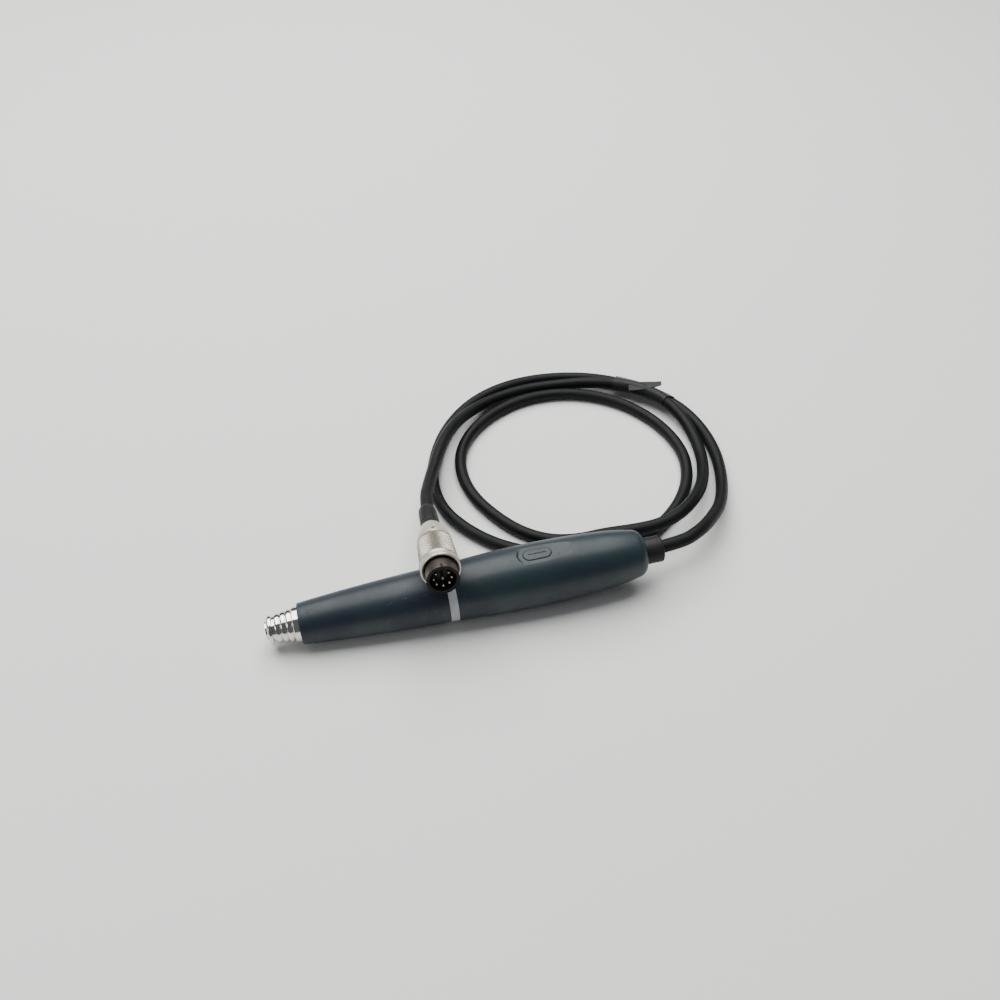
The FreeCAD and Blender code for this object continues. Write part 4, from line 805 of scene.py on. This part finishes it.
class HANDPIECE_OT_shells(bpy.types.Operator):
    """Turn the two painted shells and the ring between them"""

    bl_idname = "handpiece.shells"
    bl_label = "Shells"

    def execute(self, context):
        nose, front = (SLEEVE_FRONT, NOSE_RADIUS), (SEAM_FRONT, SEAM_RADIUS)
        sleeve = [
            (*nose, 0.35), *arc_between(nose, front, 1000, 28), (*front, 0.12),
            (SEAM_FRONT, LINER_BORE), (SHOULDER_STEP, LINER_BORE), (SHOULDER_STEP, SPIGOT_BORE),
            (41, SPIGOT_BORE), (41, 8.45), (SLEEVE_FRONT, 8.45, 0.2),
        ]
        new_piece("front_sleeve_paint", lathe("front_sleeve_paint", rounded(sleeve), 224), "petrol_paint",
                  "handle", "front_sleeve")
        back, spigot = (SEAM_BACK, SEAM_RADIUS), LINER_BORE - 0.05
        band = [
            front, back, (SEAM_BACK, spigot), (89.8, spigot), (89.8, SPIGOT_BORE), (76, SPIGOT_BORE), (76, spigot),
            (SEAM_FRONT, spigot),
        ]
        new_piece("seam_ring", lathe("seam_ring", rounded(band, 0.12), 224), "light_ring", "handle", "seam_band")
        shoulder, turn, end = (SHELL_SHOULDER, SHOULDER_RADIUS), (SHELL_TURN, TURN_RADIUS), (SHELL_END, 7.0)
        shell = [
            (*back, 0.12), *arc_between(back, shoulder, 420, 150), Vector(shoulder),
            *arc_between(shoulder, turn, 113, 12), Vector(turn), *arc_between(turn, end, 5.2, 12), (*end, 0.3),
            (SHELL_END, 5.25), (SHELL_TURN, 5.25), (SHELL_TURN, 8.5), (SHELL_SHOULDER, 11.3), (150.5, 12.4),
            (91.8, 12.4), (90.8, LINER_BORE), (SEAM_BACK, LINER_BORE),
        ]
        mesh = lathe("rear_shell_paint", rounded(shell), 224)
        self.press_pad(mesh)
        new_piece("rear_shell_paint", carved(mesh, pill("key_slot", 13.4, 6.6, 8, 16)), "petrol_paint",
                  "handle", "rear_shell")
        return {"FINISHED"}

    def press_pad(self, mesh, middle=127.5, length=25, width=12, level=13.95, edge=0.9):
        """Flatten the thumb pad into the outside of the shell, with a softened edge."""
        for vertex in mesh.vertices:
            station, side, height = vertex.co / MM
            if height < level or abs(side) > width:
                continue
            beyond = max(abs(station - middle) - (length - width) / 2, 0)
            inside = width / 2 - math.hypot(beyond, side)
            share = min(max(inside / edge + 0.5, 0), 1)
            share = share * share * (3 - 2 * share)
            vertex.co.z = (height + (level - height) * share) * MM


class HANDPIECE_OT_key(bpy.types.Operator):
    """Shape the thumb key with its engraved line"""

    bl_idname = "handpiece.key"
    bl_label = "Thumb Key"

    def execute(self, context):
        sizes = [  # length, width and height of each level loop
            (15, 7.4, 10.7), (15, 7.4, 11.4), (13, 6.2, 11.4), (13, 6.2, 13.95), (12.9, 6.1, 14.17),
            (12.7, 5.9, 14.3), (12.3, 5.5, 14.35),
        ]
        key = stacked("thumb_key_cap", [stadium(*size) for size in sizes])
        groove = pill("key_groove", 8.4, 0.6, 14.1, 15)
        new_piece("thumb_key_cap", carved(key, groove), "petrol_paint", "key", "thumb_key")
        return {"FINISHED"}


class HANDPIECE_OT_nose(bpy.types.Operator):
    """Turn the plated flange and the ribbed locking collar"""

    bl_idname = "handpiece.nose"
    bl_label = "Nose"

    def execute(self, context):
        front, back, bore = 0.9, 3.0, 4.25
        flange = [(front, 5.9), (1.6, 6.6, 0.3), (back, 6.6, 0.2), (back, bore), (front, bore)]
        new_piece("nose_flange", lathe("nose_flange", rounded(flange)), "bright_chrome", "handle", "nose_cap")
        lip, neck, pitch, groove = 3.3, 4.5, 2.6, 0.35
        collar = [(lip, 5.85), (neck, 5.85, 0.05)]
        for rib in range(3):
            start, edge = neck + rib * pitch, 6.45 + 0.45 * rib
            end, floor = start + pitch - groove, edge - 0.45
            collar += [
                (start, edge, 0.12), *arc_between((start, edge), (end, edge), pitch, 12), (end, edge, 0.12),
                (end, floor, 0.08), (start + pitch, floor, 0.08),
            ]
        skirt, skirt_end, skirt_bore, spring_seat, bore, ball_room = 8.2, 17.6, 7.0, 13.1, 5.08, 5.839
        collar += [
            (12.3, 7.9), (12.6, skirt, 0.12), (skirt_end, skirt, 0.2), (skirt_end, skirt_bore),
            (spring_seat, skirt_bore), (spring_seat, bore), (8.13, bore), (5.6, ball_room), (5.0, ball_room),
            (5.0, bore), (lip, bore),
        ]
        new_piece("ribbed_collar", lathe("ribbed_collar", rounded(collar, 0.1), 192), "bright_chrome",
                  "collar", "locking_collar")
        return {"FINISHED"}


class HANDPIECE_OT_gland(bpy.types.Operator):
    """Turn the gland that the cord leaves through"""

    bl_idname = "handpiece.gland"
    bl_label = "Gland"

    def execute(self, context):
        root, stem, outside = 168, 5.2, 6.3
        gland = [
            (root, stem), (SHELL_END, stem, 0), (SHELL_END, outside, 0.1), (GLAND_END - 0.5, outside, 0.4),
            (GLAND_END, outside - 0.5, 0.3), (GLAND_END, CORD_HOLE, 0.3), (root, CORD_HOLE),
        ]
        new_piece("gland_cap", lathe("gland_cap", rounded(gland)), "black_plastic", "handle", "cable_gland")
        return {"FINISHED"}


class HANDPIECE_OT_plug(bpy.types.Operator):
    """Turn the plug: knurled coupling ring, shell, barrel, contacts and boot"""

    bl_idname = "handpiece.plug"
    bl_label = "Plug"

    def execute(self, context):
        looks = context.scene.handpiece_looks
        self.ring(looks)
        tube, inside, shoulder, taper = 6.85, 5.4, (RING_END + 0.15, 8.0), (TAPER_END - 1, 5.3)
        shell = [
            (10, tube), (16, tube), (16, 7.38), (18.2, 7.38), (18.2, tube), (shoulder[0], tube), (*shoulder, 0.2),
            *arc_between(shoulder, taper, 30, 20), (*taper, 0.4), (TAPER_END, 4.9, 0.2), (TAPER_END, CORD_HOLE),
            (28, CORD_HOLE), (25, inside), (10, inside),
        ]
        hole = lathe("screw_hole", [(3.8, 0), (3.8, 0.8), (9, 0.8), (9, 0)], 32)
        upright = Matrix.Translation((22.6 * MM, 0, 0)) @ Matrix.Rotation(-math.pi / 2, 4, "Y")
        hole.transform(upright)
        new_piece("plug_taper", carved(lathe("plug_taper", rounded(shell, 0.08)), hole), "satin_nickel",
                  "handle", "plug_shell", pose=PLUG)
        step, back, bore = -0.5, 9.8, 6.55
        barrel = [
            (BARREL_FRONT, BARREL_RADIUS, 0.15), (step, BARREL_RADIUS), (step, tube), (back, tube), (back, bore),
            (BARREL_FRONT, bore, 0.1),
        ]
        new_piece("contact_barrel", lathe("contact_barrel", rounded(barrel, 0.05)), "barrel_nickel",
                  "handle", "plug_barrel", pose=PLUG)
        boot = [
            (TAPER_END, 4.6, 0.3), (36, 4.55), (36.4, 4.35), (36.9, 4.35), (37.3, 4.5), (45.5, 4.3, 1.0),
            (48.5, 4.1, 0.5), (BOOT_END, 3.6, 0.25), (BOOT_END, CORD_HOLE), (TAPER_END, CORD_HOLE),
        ]
        new_piece("strain_boot", lathe("strain_boot", rounded(boot, 0.1)), "boot_rubber", "handle", "plug_boot",
                  pose=PLUG)
        self.contacts(looks)
        return {"FINISHED"}

    def ring(self, looks):
        """The coupling ring: a smooth front band, and diamonds that reach its full radius behind it."""
        pitch, depth = looks.knurl_pitch / MM, looks.knurl_depth / MM
        crest, tail, waist, lip = RING_CREST - depth, RING_TAIL - depth, RING_RADIUS - 0.25, 7.2
        outline = [
            (0, 8.5, 0.12), (0.5, RING_RADIUS, 0.2), (1.1, RING_RADIUS, 0.15), (1.4, waist, 0.1), (3.5, waist, 0.1),
            (3.8, RING_RADIUS, 0.15), (4.4, RING_RADIUS, 0.15), (4.7, crest, 0.1), (RING_END - 0.2, tail, 0.1),
            (RING_END, tail - 0.15), (RING_END, lip), (18.5, lip), (18.5, RING_BORE), (0.8, RING_BORE), (0, 8.25),
        ]
        around = round(math.tau * RING_CREST / pitch)
        row_pitch = pitch / 2
        rows = int((KNURL_END - KNURL_START) / row_pitch)
        mesh = grown(
            "knurled_ring", lathe("knurled_ring", rounded(outline, 0.05), 192), knurl_tree(), Around=around,
            Rows=rows, Front=(KNURL_START + row_pitch) * MM, Row_Pitch=row_pitch * MM,
            Front_Radius=crest * MM, Fall=RING_FALL, Depth=depth * MM, Material=FINISHES["satin_nickel"])
        new_piece("knurled_ring", mesh, "satin_nickel", "ring", "coupling_ring", pose=PLUG)

    def contacts(self, looks):
        """Round-tipped contact pins, one in the middle and the rest on a circle with a gap on top."""
        tip, back, radius = BARREL_FRONT + 0.9, 12.9, 0.5
        pin = [(tip, 0), (tip + 0.15, 0.3), (tip + 0.5, radius), (back, radius), (back, 0)]
        mesh = grown(
            "contacts", lathe("contacts", rounded(pin, 0.1, 4), 24), contact_tree(), Count=looks.contact_count,
            Step=math.radians(45), Circle=3.9 * MM, Material=FINISHES["gold_contact"])
        new_piece("contacts", mesh, "gold_contact", "handle", "plug_pins", pose=PLUG)


def strand(corners, share):
    """A place on the cord's run past some neighbouring corners of its route, and its heading."""
    spot = share * len(corners)
    number = min(int(spot), len(corners) - 1)
    along = spot - number
    before, corner, after = (Vector(CORD_ROUTE[corners[number] + step]) for step in (-1, 0, 1))
    start, end = (before + corner) / 2, (corner + after) / 2
    place = start * (1 - along) ** 2 + corner * 2 * along * (1 - along) + end * along ** 2
    heading = (corner - start) * (1 - along) + (end - corner) * along
    return place, heading.normalized()


class HANDPIECE_OT_tape(bpy.types.Operator):
    """Wind the tape round two strands of the cord, with its end loose"""

    bl_idname = "handpiece.tape"
    bl_label = "Tape"

    def execute(self, context):
        sections, around = 44, 20
        work = bmesh.new()
        tunnels = []
        for inner in (False, True):
            rings = []
            for section in range(sections + 1):
                share = TAPE_SHARE * section / sections
                layers = TAPE_LAYER + (TAPE_OVERLAP if share > TAPE_LAP_START else 0)
                radius = TAPE_INSIDE if inner else TAPE_CORE + layers
                rings.append([work.verts.new(point * MM) for point in self.oval(share, radius, around)])
            join_rings(work, rings)
            tunnels.append(rings)
        for end in (0, -1):
            join_rings(work, [tunnels[0][end], tunnels[1][end]])
        mesh = to_mesh("tape_wrap", work)
        loose = self.loose_end()
        joint = bmesh.new()
        joint.from_mesh(mesh)
        joint.from_mesh(loose)
        new_piece("tape_wrap", to_mesh("tape_wrap", joint), "tape_black", "handle", "cord_wrap", pose=Matrix())
        return {"FINISHED"}

    def oval(self, share, radius, around):
        """The loop of tape round both strands."""
        first, heading = strand(OUTER_STRAND, share)
        second, other = strand(UPPER_STRAND, share)
        heading = (heading + other).normalized()
        apart = second - first
        apart -= heading * apart.dot(heading)
        middle, half = first + apart / 2, apart.length / 2
        across = apart.normalized()
        upward = heading.cross(across)
        loop = []
        for side in (1, -1):
            for step in range(around + 1):
                angle = math.pi * (step / around - 0.5) + (0 if side > 0 else math.pi)
                rim = across * math.cos(angle) + upward * math.sin(angle)
                loop.append(middle + across * half * side + rim * radius)
        return loop

    def loose_end(self):
        """The tape's loose end, lifted off the strands and drawn out to a torn tip."""
        loops = []
        steps = 16
        ahead = Vector((math.cos(TAB_SWING), math.sin(TAB_SWING), 0))
        across = Vector((-ahead.y, ahead.x, 0))
        for step in range(steps + 1):
            share = step / steps
            place = TAB_START + ahead * TAB_LENGTH * share
            near, far = 2.7 * share ** 2, TAB_WIDTH - 0.7 * share
            lift = 1.1 * share + 1.0 * share ** 3
            corners = []
            for away, thick in ((near, 0), (far, 0), (far, 1), (near, 1)):
                hang = 0.16 * (away - near) * share - 1.3 * (1 - share) * (1 - away / TAB_WIDTH)
                corners.append(place + across * away + Vector((0, 0, lift + hang + TAB_THICKNESS * thick)))
            loops.append(corners)
        return stacked("tape_tab", loops)


class HANDPIECE_OT_cord(bpy.types.Operator):
    """Lay the cord from the gland, round its loops, to the plug"""

    bl_idname = "handpiece.cord"
    bl_label = "Cord"

    def execute(self, context):
        looks = context.scene.handpiece_looks
        points = [on_axis(HANDLE, station) for station in CORD_STATIONS]
        points += [Vector(point) * MM for point in CORD_ROUTE]
        points += [on_axis(PLUG, station) for station in PLUG_STATIONS]
        curve = bpy.data.curves.new("cord_jacket", "CURVE")
        curve.dimensions = "3D"
        spline = curve.splines.new("NURBS")
        spline.points.add(len(points) - 1)
        for control, point in zip(spline.points, points):
            control.co = (*point, 1)
        spline.order_u = 3
        spline.use_endpoint_u = True
        spline.resolution_u = 10
        curve.bevel_depth = looks.cord_radius
        curve.bevel_resolution = 8
        curve.use_fill_caps = True
        curve.materials.append(FINISHES["cord_jacket"])
        cord = bpy.data.objects.new("cord_jacket", curve)
        context.scene.collection.objects.link(cord)
        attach(cord, "handle")
        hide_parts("cord")
        nodes = frame["nodes"]
        with_pieces = [nodes["plug_insulator"], nodes["plug_set_screw"]]
        with_pieces += ["contacts", "contact_barrel", "knurled_ring", "plug_taper", "strain_boot", "tape_wrap"]
        return {"FINISHED"}


class HANDPIECE_OT_stage(bpy.types.Operator):
    """Set the floor, the soft lights and the camera"""

    bl_idname = "handpiece.stage"
    bl_label = "Stage"

    def execute(self, context):
        studio = context.scene.handpiece_studio
        self.floor(context, studio)
        self.lights(context)
        camera = bpy.data.objects.new("camera", bpy.data.cameras.new("camera"))
        camera.data.lens = studio.lens
        camera.data.clip_start = 0.01
        camera.location = studio.camera_place
        camera.rotation_euler = (math.pi / 2 - studio.camera_dip, 0, -studio.camera_swing)
        context.scene.collection.objects.link(camera)
        context.scene.camera = camera
        return {"FINISHED"}

    def floor(self, context, studio):
        """A plain pale floor, six metres out on each side."""
        work = bmesh.new()
        bmesh.ops.create_grid(work, x_segments=1, y_segments=1, size=6.0)
        mesh = bpy.data.meshes.new("floor")
        work.to_mesh(mesh)
        work.free()
        finish = Finish("floor_card")
        colour = tuple(studio.floor_colour)
        finish.smudge(0.8, colour, shade(colour, 0.97), 0.5, 0.7, 0.8)
        mesh.materials.append(finish.material)
        floor = bpy.data.objects.new("floor", mesh)
        context.scene.collection.objects.link(floor)

    def lights(self, context):
        """A large soft window behind, a weak fill from the side, and a dim sky. Powers are in watts."""
        world = context.scene.world or bpy.data.worlds.new("studio")
        context.scene.world = world
        world.use_nodes = True
        background = world.node_tree.nodes["Background"]
        background.inputs["Color"].default_value = (0.93, 0.96, 1.0, 1)
        background.inputs["Strength"].default_value = 0.14
        for name, place, size, power, colour in (
            ("window", (-0.05, 0.62, 1.3), 1.7, 58.0, (1.0, 0.995, 0.98)),
            ("side_fill", (-1.3, -0.5, 0.8), 0.6, 4.0, (0.97, 0.99, 1.0)),
        ):
            data = bpy.data.lights.new(name, "AREA")
            data.size = size
            data.energy = power
            data.color = colour
            light = bpy.data.objects.new(name, data)
            light.location = place
            light.rotation_euler = (-Vector(place)).to_track_quat("-Z", "Y").to_euler()
            context.scene.collection.objects.link(light)


class HANDPIECE_PT_panel(bpy.types.Panel):
    """The handpiece's builders and settings"""

    bl_idname = "HANDPIECE_PT_panel"
    bl_label = "Handpiece"
    bl_space_type = "VIEW_3D"
    bl_region_type = "UI"
    bl_category = "Handpiece"

    def draw(self, context):
        for group in (context.scene.handpiece_looks, context.scene.handpiece_studio):
            for name in group.bl_rna.properties.keys():
                if name not in ("rna_type", "name"):
                    self.layout.prop(group, name)
        for operator in OPERATORS:
            self.layout.operator(operator.bl_idname)


OPERATORS = (
    HANDPIECE_OT_finishes,
    HANDPIECE_OT_stage,
    HANDPIECE_OT_shells,
    HANDPIECE_OT_key,
    HANDPIECE_OT_nose,
    HANDPIECE_OT_gland,
    HANDPIECE_OT_plug,
    HANDPIECE_OT_tape,
    HANDPIECE_OT_cord,
)
CLASSES = (HandpieceLooks, StudioLooks, *OPERATORS, HANDPIECE_PT_panel)


def register():
    for entry in CLASSES:
        bpy.utils.register_class(entry)
    bpy.types.Scene.handpiece_looks = PointerProperty(type=HandpieceLooks)
    bpy.types.Scene.handpiece_studio = PointerProperty(type=StudioLooks)


def unregister():
    del bpy.types.Scene.handpiece_studio
    del bpy.types.Scene.handpiece_looks
    for entry in reversed(CLASSES):
        bpy.utils.unregister_class(entry)


def main():
    register()
    for operator in OPERATORS:
        group, name = operator.bl_idname.split(".")
        getattr(getattr(bpy.ops, group), name)()


if __name__ == "__main__":
    main()
